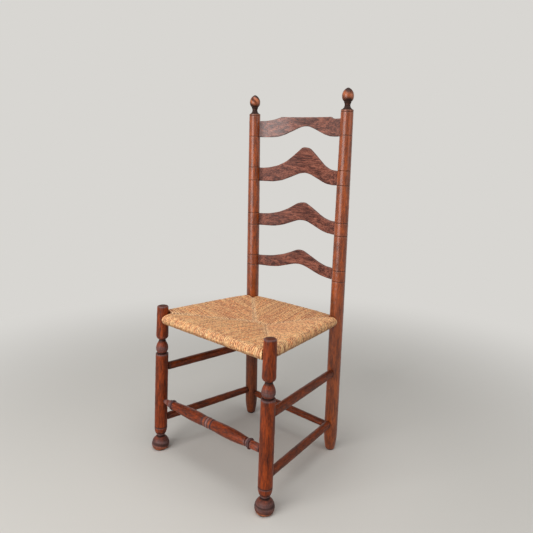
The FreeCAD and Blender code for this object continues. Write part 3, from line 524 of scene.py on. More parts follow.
def front_leg(hand, side):
    """Front leg: ball foot, ringed ankle, plain shaft, pear-shaped bulb and domed cap."""
    top = SEAT_RAIL + LEG_TOPS[hand]
    collar = SEAT_RAIL - 111.2
    # Height of the turnings over the collar, and of the domed cap
    turnings, dome = 57.1, 5.2
    lower = outline(
        -4.0, (0.0, 0.0), (19.5, 0.0), (19.5, 4.0),
        # ball, ringed ankle, and the shaft's lower end
        (27.0, 15.0, "swell"), (12.0, 24.0, "swell"),
        (12.0, 4.5), (12.0, 4.6, 1.6), (12.0, 2.2),
        (16.2, 0.0), (LEG, 17.0, "swell"),
    )
    line = lower[-1, 1] + 2.9
    shaft = outline(0.0, *ladder(score(LEG, line) + [(LEG, collar)]))
    upper = outline(
        collar, (LEG, 0.0), (13.4, 0.0), (13.4, 4.6),
        # pear-shaped bulb, neck, shaft's upper end, and cap
        (15.0, 0.0), (19.2, 13.5, "swell"), (13.0, 18.0, 1.1),
        (10.2, 10.0, "cove"), (19.0, 11.0, "swell"),
        (17.6, top - dome - (collar + turnings)),
        (14.6, 3.0, 0.85), (0.0, 2.2, 0.9),
    )
    start, end = front_axis(side, 0.0), front_axis(side, SEAT_RAIL)

    def marks(angle, z):
        patch = patches(angle, z, 31 + side, 26.0)
        fine = patches(angle, z, 37 + side, 9.0)
        foot_edge = bell(z, 5.0 + 2.0 * ripple(angle, 0 * z, 8 + side), 3.4)
        bulb = bell(z, collar + 17.0, 12.0)
        lathe_lines = sum(bell(z, collar + level, 1.1) for level in (9.0, 15.0, 20.5, 26.0))
        rings = sum(bell(z, level, 0.9) for level in (24.0, 29.5, 34.0))
        crown = unit((z - top + 7.0) / 4.0)
        cap = unit((z - top + 2.4) / 1.2)
        return {
            "bare": 0.95 * foot_edge * unit(2.6 * fine - 0.7)
            + 0.3 * bell(z, 10.0, 5.0) * unit(2.0 * patch - 1.0),
            "wear": bands(z, (0.9, 46.0, 1.8), (0.9, line - 2.2, 1.4), (1.0, collar - 1.6, 1.8))
            + bell(z, 23.0, 14.0) * (0.7 + 0.3 * patch)
            + 0.95 * bulb * (0.35 + 0.65 * patch)
            + 0.8 * crown * (1 - cap) * (0.4 + 0.6 * patch),
            # The band at the floor is a painted contact shadow; the other bands put dirt and painted
            # shade in the grooves
            "grime_and_shade": bands(z, (1.0, 0.0, 2.2), (0.75, 41.5, 2.4), (1.0, 51.0, 2.0), (0.9, line, 1.3))
            + bands(z, (1.0, collar + 2.8, 2.2), (0.75, collar + 43.0, 5.0))
            + 0.75 * bell(z, 20.0, 13.0) * unit(1.8 * (1 - patch) - 0.3)
            + 0.55 * rings * fine
            + 0.6 * bulb * lathe_lines * (0.3 + 0.7 * fine)
            + 0.85 * cap * (0.55 + 0.45 * patch),
        }

    def dents(angle, z):
        chips = unit(ripple(angle, z, 71 + side, 14.0) - 0.15)
        return 2.2 * chips * bell(z, 4.0, 4.0) + 0.6 * chips * bell(z, top - 3.0, 3.0)

    piece = turned(
        f"leg_front_{hand}", np.vstack([lower, shaft[1:], upper[1:]]),
        start, end, 360, 56, 11 + side, marks, dents,
    )
    stain = wood(
        f"stain_leg_{hand}", start, end, LEG_STAIN,
        open_grain=0.2, flecks=0.3, roughness=0.42, coat=0.05, roll=0.6 + side,
    )
    finish_piece(piece, stain, "turned_wood", f"front_leg_{hand}")


def rear_post(hand, side):
    """Rear post: tapered foot, long shaft with the joiner's lines, and an acorn finial."""
    shoulder = HEIGHT - FINIAL
    neck = 19.5

    def shaft_radius(level):
        """Radius between the belly and the neck, slightly fuller than a straight taper."""
        share = (level - BELLY) / (shoulder - BELLY)
        return POST - (POST - neck) * share + 2.0 * share * (1 - share)

    foot = outline(
        -4.0, (0.0, 0.0), (11.0, 0.0), (11.0, 4.0),
        (15.4, 9.0, "swell"), (20.5, 45.0, "swell"), (POST, BELLY - 54.0),
    )
    # The joiner's lines for both edges of each slat; the top slat's upper one doesn't show
    lines = []
    for lower, width, _, crest, *_ in reversed(SLAT_SIZES.values()):
        lines += [lower + 2.8, lower + width + 1.3] if crest else [lower + 2.8]
    levels = [step for level in lines for step in score(shaft_radius(level), level)]
    levels += score(neck, shoulder)
    shaft = outline(0.0, *ladder(levels))
    finial = outline(
        shoulder, (neck, 0.9), (neck, 4.1), (16.3, 3.2, 0.9),
        # neck, ring, and the two parts of the acorn
        (8.9, 13.0, "cove"), (11.7, 8.5, "cove"),
        (10.7, 1.5), (12.2, 1.5),
        (18.3, 14.0, 1.6), (1.4, 28.2, 5.4), (0.0, 0.8),
    )
    start, end = rear_axis(side, 0.0), rear_axis(side, HEIGHT)

    def marks(angle, z):
        patch = patches(angle, z, 41 + side, 22.0)
        fine = patches(angle, z, 47 + side, 8.0)
        blotch = patches(angle, z, 53 + side, 90.0)
        drawn = sum(bell(z, level, 1.0) for level in lines + [shoulder])
        rims = sum(bell(z, level - 2.4, 1.2) for level in lines + [shoulder])
        up = z - shoulder
        acorn = unit((up - 23.7) / 3.0)
        # The left post's lower part, under the seat, is darker: painted shade
        shaded = 0.6 if hand == "left" else 0.0
        return {
            "grime_and_shade": bands(up, (0.9, 8.7, 4.0), (0.9, 18.7, 8.0), (0.9, FINIAL, 7.0))
            # A painted contact shadow where the foot stands on the floor
            + 0.85 * bell(z, 0.0, 3.5)
            + shaded * unit((400.0 - z) / 30.0) * (0.7 + 0.3 * patch)
            + 0.6 * drawn
            + acorn * (0.9 * bell(up, 28.7, 11.0) + 0.8 * unit(2.4 * (1 - blotch) - 0.6)),
            "bare": 0.6 * bell(up, 52.7, 12.0) * unit(1.9 * blotch - 0.8),
            "wear": 0.4 * rims * fine + 0.5 * bell(up, 4.7, 2.5) * patch,
        }

    piece = turned(
        f"post_rear_{hand}", np.vstack([foot, shaft, finial]), start, end, 440, 56, 21 + side, marks
    )
    stain = wood(f"stain_post_{hand}", start, end, POST_STAIN, flecks=0.3, coat=0.75, roll=0.2 + side)
    finish_piece(piece, stain, "turned_wood", f"rear_post_{hand}")


def round_stretcher(name, start, end, radius, end_radius, ends, seed):
    """Round stretcher, thickest in the middle, with a tenon at each end.

    ends holds the radius of the leg or post there.
    """
    length = np.linalg.norm(end - start)
    # Where the tenon starts, its radius, and how long the rounded shoulder beside it is
    tip, tenon, shoulder = 9.2, 8.0, 5.0
    rows = outline(
        tip, (0.0, 0.0), (tenon, 0.0), (tenon, ends[0] - tip),
        (end_radius, shoulder, "swell"),
        (radius, length / 2 - ends[0] - shoulder, "swell"),
        (end_radius, length / 2 - ends[1] - shoulder, "swell"),
        (tenon, shoulder, "swell"), (tenon, ends[1] - tip), (0.0, 0.0),
    )

    def marks(angle, z):
        near = bell(z, ends[0], 9.0) + bell(z, length - ends[1], 9.0)
        return {"grime_and_shade": 0.8 * near * (0.6 + 0.4 * ripple(angle, z, seed + 5, 20.0))}

    piece = turned(name + "_rod", rows, start, end, 90, 32, seed, marks, crooked=0.28)
    stain = wood("stain_" + name, start, end, ROD_STAIN, open_grain=0.3, roll=0.37 * seed)
    finish_piece(piece, stain, "turned_wood", name)


def front_stretcher():
    """Front stretcher: a ring group just right of the middle, two swellings, and discs and beads."""
    start, end = front_axis(-1, 155.0), front_axis(1, 161.7)
    length = np.linalg.norm(end - start)
    middle = length / 2 + 1.5
    tip = 7.7
    # Radius of the notches between the turnings and of a swelling's outer end, and a flank's width
    notch, core, flank = 7.6, 11.6, 0.8
    # Half the middle ring, the collar beside it, and a flank of the grooves along these
    ring, collar, groove = 4.0, 11.0, 0.9

    def bead(radius, width, bulge):
        """A notch and a bead whose profile bulges between its edges."""
        return [(notch, flank), (radius, flank), (radius, width, bulge)]

    disc = bead(12.8, 6.5, 2.0)

    def half(centre, belly, neck, turnings):
        """Outline from one end to the centre of the ring group, thickest at belly before it."""
        near = outline(
            tip, (0.0, 0.0), (6.5, 0.0), (6.5, LEG - tip),
            *neck, *turnings, (notch, flank), (core, flank),
        )
        level = near[-1, 1]
        swelling = outline(
            level, (core, 0.0),
            (16.0, centre - belly - level, "swell"),
            (14.2, belly - ring - 4 * groove - collar, "swell"),
            (13.4, groove), (14.8, groove), (14.8, collar),
            (13.4, groove), (14.0, groove), (15.4, ring, 0.36),
        )
        return np.vstack([near, swelling[1:]])

    left = half(middle, 55.0, [(7.0, 0.5), (8.2, 22.0, 0.3)], bead(10.2, 11.0, 1.3) + disc)
    right = half(
        length - middle, 78.0, [(9.8, 0.5), (11.0, 33.0, 0.5)],
        disc + bead(11.2, 5.0, 0.8) + [(9.8, 0.0), (9.8, 3.0)],
    )
    rows = np.vstack([left, np.stack([right[::-1, 0], length - right[::-1, 1]], -1)[1:]])

    def marks(angle, z):
        patch = patches(angle, z, 66, 24.0)
        at_left, at_right = LEG + 40.5, length - LEG - 38.5
        discs = bands(z, (1.0, at_left, 4.0), (1.0, at_right, 4.0))
        beads = bands(z, (1.0, at_left - 10.5, 3.0), (1.0, at_right - 9.0, 3.0))
        rings = sum(bell(z, middle + off, 1.6) for off in (-17.7, -4.9, 4.9, 17.7))
        collars = bands(z, (1.0, middle - 11.3, 4.0), (1.0, middle + 11.3, 4.0))
        return {
            "grime_and_shade": bands(z, (0.9, LEG, 4.0), (0.9, length - LEG, 4.0), (0.7, middle + 17.7, 2.2))
            + 0.85 * discs + 0.45 * beads + 0.6 * rings
            + 0.75 * bell(z, middle - 21.0, 4.0) * (0.6 + 0.4 * patch),
            "wear": bands(z, (0.9, middle, 4.0), (0.7, LEG + 10.0, 9.0))
            + 0.45 * discs + 0.7 * beads + 0.4 * collars * patch
            + 0.4 * bell(z, length - LEG - 10.0, 12.0) * patch,
            "bare": 0.35 * collars * (1 - patch),
        }

    piece = turned("stretcher_front", rows, start, end, 340, 44, 5, marks)
    stain = wood(
        "stain_front_stretcher", start, end, FRONT_ROD_STAIN, open_grain=0.35, roughness=0.34, roll=0.9
    )
    finish_piece(piece, stain, "turned_wood", "front_stretcher")


for hand, side in SIDES.items():
    front_leg(hand, side)
    rear_post(hand, side)
    for level, (at_leg, at_post, radius, end_radius, seed) in SIDE_STRETCHERS.items():
        round_stretcher(
            f"{level}_side_stretcher_{hand}", front_axis(side, at_leg), rear_axis(side, at_post),
            radius, end_radius, (LEG, POST), seed + side,
        )
round_stretcher("rear_stretcher", rear_axis(-1, 74.6), rear_axis(1, 70.8), 10.8, 10.1, (POST, POST), 91)
front_stretcher()


# Slats


def ogee(x, base, rise, reach, left, right):
    """Height of an ogee edge: level at the ends, a hollow, a slope and a rounded crest.

    left and right hold each half's reach of the crest's rounding, and the ease of its hollow.
    """
    halves = []
    for corner, ease in (left, right):
        away = np.abs(x)
        slope = atan(rise / (reach - corner))
        hollow = ease / tan(slope / 2)
        crown = corner / tan(slope / 2)
        foot = base + hollow - np.sqrt(np.maximum(hollow**2 - (away - reach - ease) ** 2, 0))
        crest = base + rise - crown + np.sqrt(np.maximum(crown**2 - away**2, 0))
        ramp = base + (reach - away) * tan(slope)
        edge = np.where(away > reach + ease, base, foot)
        edge = np.where(away < reach - ease * cos(slope), ramp, edge)
        halves.append(np.where(away < corner * (1 + cos(slope)), crest, edge))
    return np.where(x < 0, *halves)


def sawn(x, base, half):
    """Height of the top slat's upper edge: a hollow, a sloping saw cut, and a chip near the right."""
    # The cut begins here, this high over the ends
    left, depth = -97.0, 14.0
    foot = half - 22.0
    cut = np.interp(x, [left, 115.0, 124.0, half - 56.0], [depth, 7.5, 2.6, 0.0])
    run = foot + left
    big = (run**2 + depth**2) / (2 * depth)
    hollow = big - np.sqrt(big**2 - np.clip(x + foot, 0, run) ** 2)
    return base + np.where(x < left, hollow, cut)


# Half a slat's thickness, and the rounding of its edges
SLAT_HALF = 4.25
SLAT_RIM = 1.5


def slat(place, seed):
    """Bowed slat: a rounded rectangle of the strip's thickness carried along an arc between the posts.

    Its height at each place runs from the lower edge to the upper one, and the whole leans back
    with the posts.
    """
    height, width, arch, crest, bow, left, right = SLAT_SIZES[place]
    half = rear_axis(1, height + width / 2)[0]
    tip = half - POST + 12.0
    bend = (half**2 + bow**2) / (2 * bow)
    x = np.linspace(-tip, tip, 190)[:, None]
    low = ogee(x, 0.0, arch, half - 86.0, (16.5, 30.0), (16.5, 30.0))
    if place == "top":
        high = sawn(x, width, half)
    else:
        high = ogee(x, width, crest, half - 84.0, (left, 60.0), (right, 36.0))
    rise = high - low
    # Half of the section, from the middle of the lower edge up to the middle of the upper one
    arc = np.linspace(0, np.pi / 2, 5)
    face = np.linspace(0, 1, 12)[1:-1]
    flat = SLAT_HALF - SLAT_RIM
    sine, cosine = SLAT_RIM * np.sin(arc), SLAT_RIM * np.cos(arc)
    out = np.hstack([[0], flat + sine, SLAT_HALF + 0 * face, flat + cosine, [0]])
    up = np.hstack([
        low,
        low + SLAT_RIM - cosine,
        low + SLAT_RIM + (rise - 2 * SLAT_RIM) * face,
        high - SLAT_RIM + sine,
        high,
    ])
    out = np.hstack([out, -out[-2:0:-1]])[None, :]
    up = np.hstack([up, up[:, -2:0:-1]])
    uneven = 0.35 * ripple(x / 40, up + 40 * np.sign(out), seed + 3, 120.0)
    out = out * (1 + 0.05 * ripple(x / 30, up, seed, 90.0)) + uneven
    up = up + 0.3 * ripple(x / 18, 0 * up, seed + 7) * np.sign(up - low - rise / 2)
    deep = np.sqrt(bend**2 - x**2)
    back = bow - bend + deep + out * deep / bend
    lean = atan(RAKE)
    _, base_y, base_z = rear_axis(1, height)
    grid = np.stack([
        x + out * x / bend,
        base_y + back * cos(lean) + up * sin(lean),
        base_z - back * sin(lean) + up * cos(lean),
    ], -1)
    near_end = bell(np.abs(x), tip - 12.0, 9.0)
    # Painted shade along the lower edge, and a fainter dark line along the upper edge; the ends at the
    # posts are dirtier
    edge = bell(up - low, 0.0, 2.2) + 0.35 * bell(high - up, 0.0, 1.6)
    patch = patches(x / 26, up, seed + 9, 70.0)
    paint = {
        "grime_and_shade": unit(0.6 * edge * patch + 0.5 * near_end),
        "wear": unit(0.5 * bell(high - up, 2.0, 3.0) * patch),
        "bare": 0 * up,
    }
    piece = shell(f"back_slat_{place}", grid, paint)
    start = np.array([-tip, base_y, base_z])
    # The top slat shines more than the others
    coat, specular = (0.6, 0.3) if place == "top" else (0.03, 0.15)
    stain = wood(
        f"stain_slat_{place}", start, start + np.array([2 * tip, 0, 0]), SLAT_STAIN,
        coarse=1.7, open_grain=0.8, flecks=0.3, roughness=0.42, coat=coat, specular=specular,
        roll=0.31 * seed,
    )
    finish_piece(piece, stain, "slat_wood", f"slat_{place}")


for count, place in enumerate(SLAT_SIZES):
    slat(place, 101 + 10 * count)


# Seat rails, inside the rush

rail_ends = {
    "front": [front_axis(side, SEAT_RAIL) for side in (-1, 1)],
    "rear": [rear_axis(side, REAR_RAIL) for side in (-1, 1)],
}
for hand, side in SIDES.items():
    lifts = SEAT_RAIL + SIDE_LIFT[0], REAR_RAIL + SIDE_LIFT[1]
    rail_ends[hand] = front_axis(side, lifts[0]), rear_axis(side, lifts[1])
for place, (start, end) in rail_ends.items():
    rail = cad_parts[f"seat_rail_{place}"]
    rail.data.materials.clear()
    rail.data.materials.append(wood(f"stain_rail_{place}", start, end, ROD_STAIN, roughness=0.5))


# Rush seat

FRONT_HALF, FRONT_Y, _ = front_axis(1, SEAT_RAIL)
REAR_HALF, REAR_Y, _ = rear_axis(1, REAR_RAIL)
SEAT_DEPTH = hypot(REAR_Y - FRONT_Y, SEAT_RAIL - REAR_RAIL)
# Left and right end of the middle seam, its distance from the front rail's axis, and half its width
BRIDGE = (-18.0, 28.0, 202.0)
BRIDGE_HALF = 2.5
# Width of a cord, radius of the roll round a rail, drop of the top to the middle, thickness there
CORD = 6.6
ROLL = 15.0
DISH = 26.0
MIDDLE = 24.0
# Rows of points across a cord, and a way to the next post that counts as far
COLUMNS = 8
NO_POST = 400.0
RAIL_RUNS = {
    # both ends of a panel's rail, counted along it, and the radius of the leg or post there
    "front": (-FRONT_HALF, FRONT_HALF, LEG, LEG),
    "rear": (-REAR_HALF, REAR_HALF, POST, POST),
    **dict.fromkeys(SIDES, (0.0, SEAT_DEPTH, LEG, POST)),
}


def on_seat(x, y, z):
    """Point of the seat's own frame, which starts in the middle of the front rail and leans back."""
    fall = asin((SEAT_RAIL - REAR_RAIL) / SEAT_DEPTH)
    return np.stack([
        x,
        FRONT_Y + y * cos(fall) + z * sin(fall),
        SEAT_RAIL - y * sin(fall) + z * cos(fall),
    ], -1)


def side_lift(s):
    """How far the side rails lie over the front and rear ones, s back from the front rail."""
    return np.interp(s, [0, SEAT_DEPTH], SIDE_LIFT)


def side_rail(s):
    """Distance of the side rails' axes from the seat's middle line, s back from the front rail."""
    return np.interp(s, [0, SEAT_DEPTH], [FRONT_HALF, REAR_HALF])


def seam(place, s):
    """Distance from a rail's axis to its panel's seam, along the cord at s."""
    left, right, bridge_y = BRIDGE
    if place in SIDES:
        end = -left if place == "left" else right
        return side_rail(s) - np.interp(s, [0, bridge_y, SEAT_DEPTH], [FRONT_HALF, end, REAR_HALF])
    gap = (bridge_y if place == "front" else SEAT_DEPTH - bridge_y) - BRIDGE_HALF
    start, stop = RAIL_RUNS[place][:2]
    return np.interp(s, [start, left, right, stop], [0, gap, gap, 0])


def rush_panel(place, panel_shade, shade_lines, dots, seed):
    """One panel of the woven seat: a ridge for each cord of rush, side by side along a rail.

    A cord starts at the seam on top, runs out over the rail, round it, and back under the seat to
    the seam below. Its section is half an ellipse and its end is rounded. Beside a leg the cords
    close up to the leg's round. The panel is one sheet of ridges closed by a wall below the seam.
    """
    dice = np.random.default_rng(seed)
    beside = place in SIDES
    first, last, *rounds = RAIL_RUNS[place]
    low, high = first + rounds[0] + 0.2, last - rounds[1] - 0.2
    ends = ((low, -1, rounds[0]), (high, 1, rounds[1]))
    cords = int((high - low) / CORD)
    widths = dice.uniform(0.85, 1.15, cords)
    edges = low + (high - low) * np.append(0, np.cumsum(widths)) / widths.sum()
    step = np.arange(COLUMNS) / COLUMNS
    share = (1 - np.cos(np.pi * step)) / 2
    along = (edges[:-1, None] + np.diff(edges)[:, None] * share).reshape(-1, 1)
    middle = np.repeat((edges[1:] + edges[:-1]) / 2, COLUMNS)[:, None]
    ridge = np.tile(np.sin(np.pi * step), cords)[:, None]
    own = np.repeat(dice.uniform(-0.4, 0.4, cords), COLUMNS)[:, None]
    start = np.repeat(dice.uniform(0, 3, cords), COLUMNS)[:, None]
    count = (np.arange(cords)[:, None] + share).reshape(-1, 1)

    depth = (seam(place, middle) + seam(place, along)) / 2
    depth = depth + CORD * (0.25 * ridge - 0.3 * (1 - ridge)) + own
    longest = seam(place, BRIDGE[2] if beside else 0.0)
    # The way along a cord: top from the seam outwards, round the rail, and back under the seat
    near_seam = np.array([0.0, 0.3, 0.8, 1.6, 2.8])
    top = np.hstack([depth - near_seam, (depth - 4.6) * np.linspace(1, 0, 42)])
    turn = np.linspace(np.pi / 2, 3 * np.pi / 2, 26)[1:-1]
    under = depth * np.linspace(0, 1, 34) ** 1.1
    # The roll is a little thinner beside a post
    to_post = np.minimum(*(np.abs(end - middle) if size == POST else NO_POST for end, _, size in ends))
    roll = ROLL - 2.5 * np.exp(-to_post / 30)
    lift = side_lift(middle) if beside else 0.0
    meet = side_lift(depth if place == "front" else SEAT_DEPTH - depth) / 2

    def blend(d):
        """What brings a panel to the height of its neighbour at the seam."""
        toward = (1 - d / longest) * unit(d / depth) ** 1.5
        return -lift / 2 * toward if beside else meet * toward

    # Both layers bulge between rail and seam, long cords more than short ones, with a crease there
    fullness = (depth / longest) ** 0.7
    z_top = roll + lift - (DISH + lift) * top / longest + blend(top)
    z_top += 3.2 * fullness * np.sin(np.pi * unit(top / depth)) ** 0.8
    z_top -= 2.2 * np.exp(-(depth - top) / 1.4)
    z_under = -roll + lift - (DISH + MIDDLE - 2 * ROLL + lift) * under / longest + blend(under)
    z_under += 3.0 * np.exp(-(depth - under) / 2.6)
    z_under -= 2.0 * fullness * np.sin(np.pi * unit(under / depth))
    flat = 0 * along
    d = np.hstack([top, roll * np.cos(turn) + flat, under])
    z = np.hstack([z_top, lift + roll * np.sin(turn) + flat, z_under])
    # Direction in which the ridges stand out: up, round the rail, and down
    n_d = np.hstack([0 * top[0], np.cos(turn), 0 * under[0]])
    n_z = np.hstack([0 * top[0] + 1, np.sin(turn), 0 * under[0] - 1])
    gone = np.hypot(np.diff(d, axis=1, prepend=d[:, :1]), np.diff(z, axis=1, prepend=z[:, :1]))
    run = np.cumsum(gone, axis=1)
    # The ridges themselves, with the turns of their two strands
    strand = np.sin(2 * np.pi * (2 * count + run / 9.0 + start))
    bulk = (2.2 + 0.22 * strand) * ridge + own * (ridge > 0.1) - 1.5
    d = d + n_d * bulk
    z = z + n_z * bulk
    wander = 1.2 * ripple(middle / 60, d, seed + 2, 150.0)
    s = along + wander * unit((depth - d) / 30) * unit(d / 40)
    for end, sign, size in ends:
        gap = size - np.sqrt(size**2 - np.minimum(np.abs(d), 15.0) ** 2)
        s = s + sign * gap * np.exp(-np.abs(along - end) / 12) * unit(1 - d / 16)

    def placed(s, d, z):
        """Point of the panel in the chair's frame."""
        if beside:
            return on_seat(SIDES[place] * (side_rail(s) - d), s, z)
        return on_seat(s, d if place == "front" else SEAT_DEPTH - d, z)

    hubs = [placed(end, 0.0, side_lift(end) if beside else 0.0) for end in (low, high)]
    uv = np.stack([count + 0 * run, run / 100 + start], -1)
    on_top = n_z > 0
    # The next two lines give painted shade in the gaps between the cords' ends at each seam
    tip = np.exp(-np.abs(depth - d) / 2.2) * (n_z > -0.2)
    dirt = np.where(along < (BRIDGE[2] if beside else 0.0), *dots)
    paint = {
        # Painted shade in the creases between cords, as strong as the panel's lines between cords
        "crease_shade": shade_lines * unit(1.2 - ridge * 1.25) + 0 * run,
        # Painted shade in the gaps at the seams, between the ridges, and under the seat
        "grime_and_shade": unit(2.2 * dirt * tip * (1.05 - ridge) + 0.35 * (n_z < -0.25)),
        # Painted highlight on the cords' ridges just short of the seam
        "tip": np.exp(-np.abs(depth - d - 5.0) / 4.0) * on_top * ridge,
        # Painted shade: a brown tinge that differs from panel to panel and grows away from the rail
        "tan": panel_shade * unit(d / 30),
        # Where the cords turn round the rail, and on top near it; the painted highlights on strands are
        # stronger there
        "roll": unit(1 - np.abs(n_z) + np.exp(-np.abs(d) / 14.0) * on_top),
    }
    return shell(f"rush_panel_{place}", placed(s, d, z), paint, uv, hubs)


def rush_finish():
    """Twisted rush: two strands wound to a cord, fibres along them, and no two cords quite the same."""
    material = bpy.data.materials.new("twisted_rush")
    bench = node_bench(material)
    # A cord's number with the place across it, and the way along it in tenths of a metre
    uv = bench.add("SeparateXYZ", {0: bench.add("UVMap", uv_map="UVMap")[0]})
    side, far = uv["X"], uv["Y"]
    cord = bench.math("FLOOR", side)
    within = bench.math("FRACT", side)
    stray = bench.times(bench.noise(bench.join(within, bench.times(far, 8.0), cord), 1.3, 2.0), 0.9)
    wound = bench.math("ADD", bench.math("ADD", within, bench.times(far, 7.0)), stray)
    wound = bench.times(wound, 2.0)
    groove = bench.math("ABSOLUTE", bench.math("SUBTRACT", bench.math("FRACT", wound), 0.5))
    groove = bench.range(groove, 0.3, 0.5)
    own = bench.dice(cord)
    strand = bench.dice(bench.math("ADD", bench.math("FLOOR", wound), bench.times(cord, 17.3)))
    fibre = bench.noise(bench.join(wound, bench.times(far, 3.0), cord), 4.5, 3.0, 0.65)
    patch = bench.noise(bench.add("TexCoord")["Object"], 14.0, 3.0, 0.6)
    speck = bench.noise(bench.join(side, bench.times(far, 9.0)), 1.7, 2.0, 0.7)
    pair = bench.noise(bench.join(bench.times(cord, 0.47), bench.times(far, 0.7)), 1.0, 1.0)
    rolled = bench.painted("roll")
    crease_shade = bench.painted("crease_shade")
    # glint is a painted highlight on single strands; it and the dark strands are stronger on the roll
    glint = bench.times(bench.range(strand, 0.5, 0.9), bench.math("MULTIPLY_ADD", rolled, 0.35, 0.5))
    dull = bench.times(bench.range(strand, 0.45, 0.05), bench.math("MULTIPLY_ADD", rolled, 0.3, 0.5))
    dark = bench.times(bench.range(speck, 0.52, 0.6), bench.range(crease_shade, 0.0, 0.6, 0.6, 0.95))
    layers = [
        (glint, (255, 222, 166)),
        (dull, (150, 78, 40)),
        (bench.range(own, 0.45, 0.0, 0.0, 0.8), (176, 92, 46)),
        (bench.range(own, 0.6, 1.0, 0.0, 0.75), (255, 202, 136)),
        (bench.range(pair, 0.48, 0.34, 0.0, 0.5), (170, 92, 48)),
        (bench.range(pair, 0.52, 0.66, 0.0, 0.5), (255, 206, 142)),
        (bench.range(patch, 0.5, 0.7, 0.0, 0.35), (190, 120, 84)),
        # Painted shade of each panel as a brown tinge
        (bench.times(bench.painted("tan"), 0.5), (204, 120, 88)),
        # A painted highlight along the cords' ridges, where the creases end
        (bench.range(crease_shade, 0.25, 0.0, 0.0, 0.4), (255, 214, 160)),
        # A painted highlight on the ridges near the seams
        (bench.times(bench.painted("tip"), 0.75), (255, 224, 178)),
        (bench.range(speck, 0.47, 0.36, 0.0, 0.8), (255, 214, 152)),
        (bench.times(groove, 0.3), (140, 80, 44)),
        # Painted shade in the creases between cords; the next layer puts dark specks there
        (bench.times(crease_shade, 0.85), (118, 60, 30)),
        (dark, (104, 54, 28)),
        # Painted shade in the seam gaps and under the seat
        (bench.times(bench.painted("grime_and_shade"), 0.95), (58, 32, 18)),
    ]
    colour = bench.mix(bench.range(fibre, 0.34, 0.66), tint(230, 120, 52), tint(255, 158, 78))
    for share, shade in layers:
        colour = bench.mix(share, colour, tint(*shade))
    height = bench.math("SUBTRACT", bench.times(fibre, 0.6), bench.times(groove, 0.7))
    bump = bench.add("Bump", {"Strength": 0.7, "Distance": 0.0008, "Height": height})[0]
    rough = bench.range(fibre, 0.3, 0.7, 0.58, 0.44)
    surface = {"Base Color": colour, "Roughness": rough, "Normal": bump}
    bench.finish(bench.add("BsdfPrincipled", surface)[0])
    return material


rush = rush_finish()
PANELS = {
    # painted shade as a brown tinge, strength of the painted shade in the lines between cords, and
    # of the painted shade in the gaps along the panel's first and second seam
    "front": (0.0, 0.6, (1.0, 0.4)),
    "right": (0.6, 0.6, (0.4, 0.4)),
    "rear": (0.3, 0.9, (0.25, 0.4)),
    "left": (0.25, 1.0, (1.0, 0.25)),
}
for seed, (place, looks) in enumerate(PANELS.items(), 201):
    panel = rush_panel(place, *looks, seed)
    finish_piece(panel, rush, "rush", "rush_seat", f"stuffing_{place}")


# Stage, light and camera

FLOOR = tint(208, 205, 199)
BACKGROUND = tint(216, 214, 210)
AMBIENT = 0.2
FLOOR_RADIUS = 14
LAMPS = {
    # place, height over the floor's middle that it faces, width, height, power
    "window": ((-0.1, -2.9, 1.3), 0.9, 2.3, 2.4, 76.0),
    "ceiling": ((0.4, -0.5, 3.0), 0.5, 3.0, 3.0, 52.0),
    "side": ((2.8, 0.6, 1.6), 0.6, 1.6, 2.0, 12.0),
}
# Where the camera stands, its turn, tilt and roll in degrees, its lens and how far that is shifted
CAMERA = (1.1161, -1.2099, 0.9446)
CAMERA_ANGLES = (41.9299, 3.2524, 0.7238)
LENS = 35.97
LENS_SHIFT = -0.1606


def seen_straight(bench):
    """1 for rays that the camera sees, also by mirror or through glass, and 0 for scattered light."""
    rays = bench.add("LightPath")
    seen = bench.math("MAXIMUM", rays["Is Camera Ray"], rays["Is Glossy Ray"])
    return bench.math("MAXIMUM", seen, rays["Is Transmission Ray"])


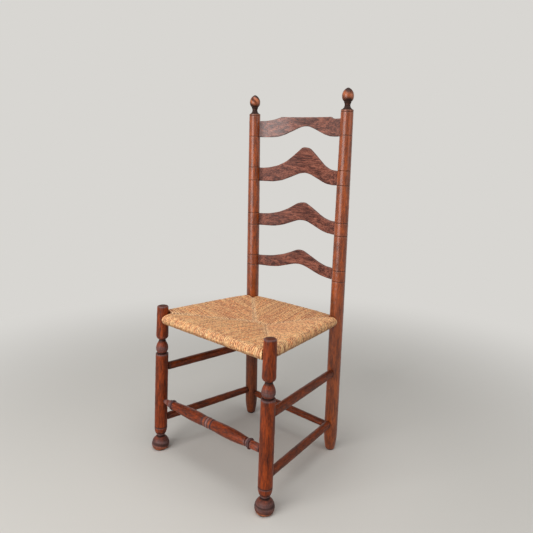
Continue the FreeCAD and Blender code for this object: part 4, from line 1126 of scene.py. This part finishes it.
def stage():
    """Round floor whose far edge fades into the plain background."""
    ring = np.linspace(0, 2 * np.pi, 96, endpoint=False)
    rim = [(FLOOR_RADIUS * cos(a), FLOOR_RADIUS * sin(a), 0) for a in ring]
    mesh = bpy.data.meshes.new("floor")
    mesh.from_pydata(rim, [], [list(range(len(rim)))])
    new_object("floor", mesh)
    material = bpy.data.materials.new("floor_paint")
    mesh.materials.append(material)
    bench = node_bench(material)
    far = bench.add("VectorMath", {0: bench.add("TexCoord")["Object"]}, operation="LENGTH")["Value"]
    fade = bench.times(bench.range(far, 0.6, 1.9), seen_straight(bench))
    plain = bench.add("BsdfDiffuse", {"Color": FLOOR})[0]
    glow = bench.add("Emission", {"Color": BACKGROUND})[0]
    bench.finish(bench.add("MixShader", {0: fade, 1: plain, 2: glow})[0])

    world = bpy.data.worlds.new("room")
    bpy.context.scene.world = world
    bench = node_bench(world)
    ambient = bench.add("Background", {"Color": (1.0, 1.0, 1.0, 1.0), "Strength": AMBIENT})[0]
    shown = bench.add("Background", {"Color": BACKGROUND})[0]
    both = bench.add("MixShader", {0: seen_straight(bench), 1: ambient, 2: shown})[0]
    bench.finish(both, "OutputWorld")


def softbox(name, place, aim, width, height, power):
    """Rectangular lamp that faces the chair's middle line at the height aim."""
    lamp = bpy.data.lights.new(name, "AREA")
    lamp.shape = "RECTANGLE"
    lamp.size, lamp.size_y, lamp.energy = width, height, power
    piece = new_object(name, lamp)
    piece.location = place
    piece.rotation_euler = (Vector((0, 0, aim)) - Vector(place)).to_track_quat("-Z", "Y").to_euler()


def camera():
    """Camera at the photograph's angle, as high as the upper slats and to the chair's front right."""
    turn, tilt, roll = (radians(v) for v in CAMERA_ANGLES)
    back = Vector((sin(turn) * cos(tilt), -cos(turn) * cos(tilt), sin(tilt)))
    right = Vector((0, 0, 1)).cross(back).normalized()
    up = back.cross(right)
    x = right * cos(roll) + up * sin(roll)
    y = up * cos(roll) - right * sin(roll)
    pose = Matrix((x, y, back)).transposed().to_4x4()
    pose.translation = CAMERA
    lens = bpy.data.cameras.new("camera")
    lens.sensor_width = 36.0
    lens.lens = LENS
    lens.shift_y = LENS_SHIFT
    lens.clip_start = 0.05
    piece = new_object("camera", lens)
    piece.matrix_world = pose
    bpy.context.scene.camera = piece


stage()
for name, lamp in LAMPS.items():
    softbox(name, *lamp)
camera()
bpy.context.scene.view_settings.view_transform = "Standard"
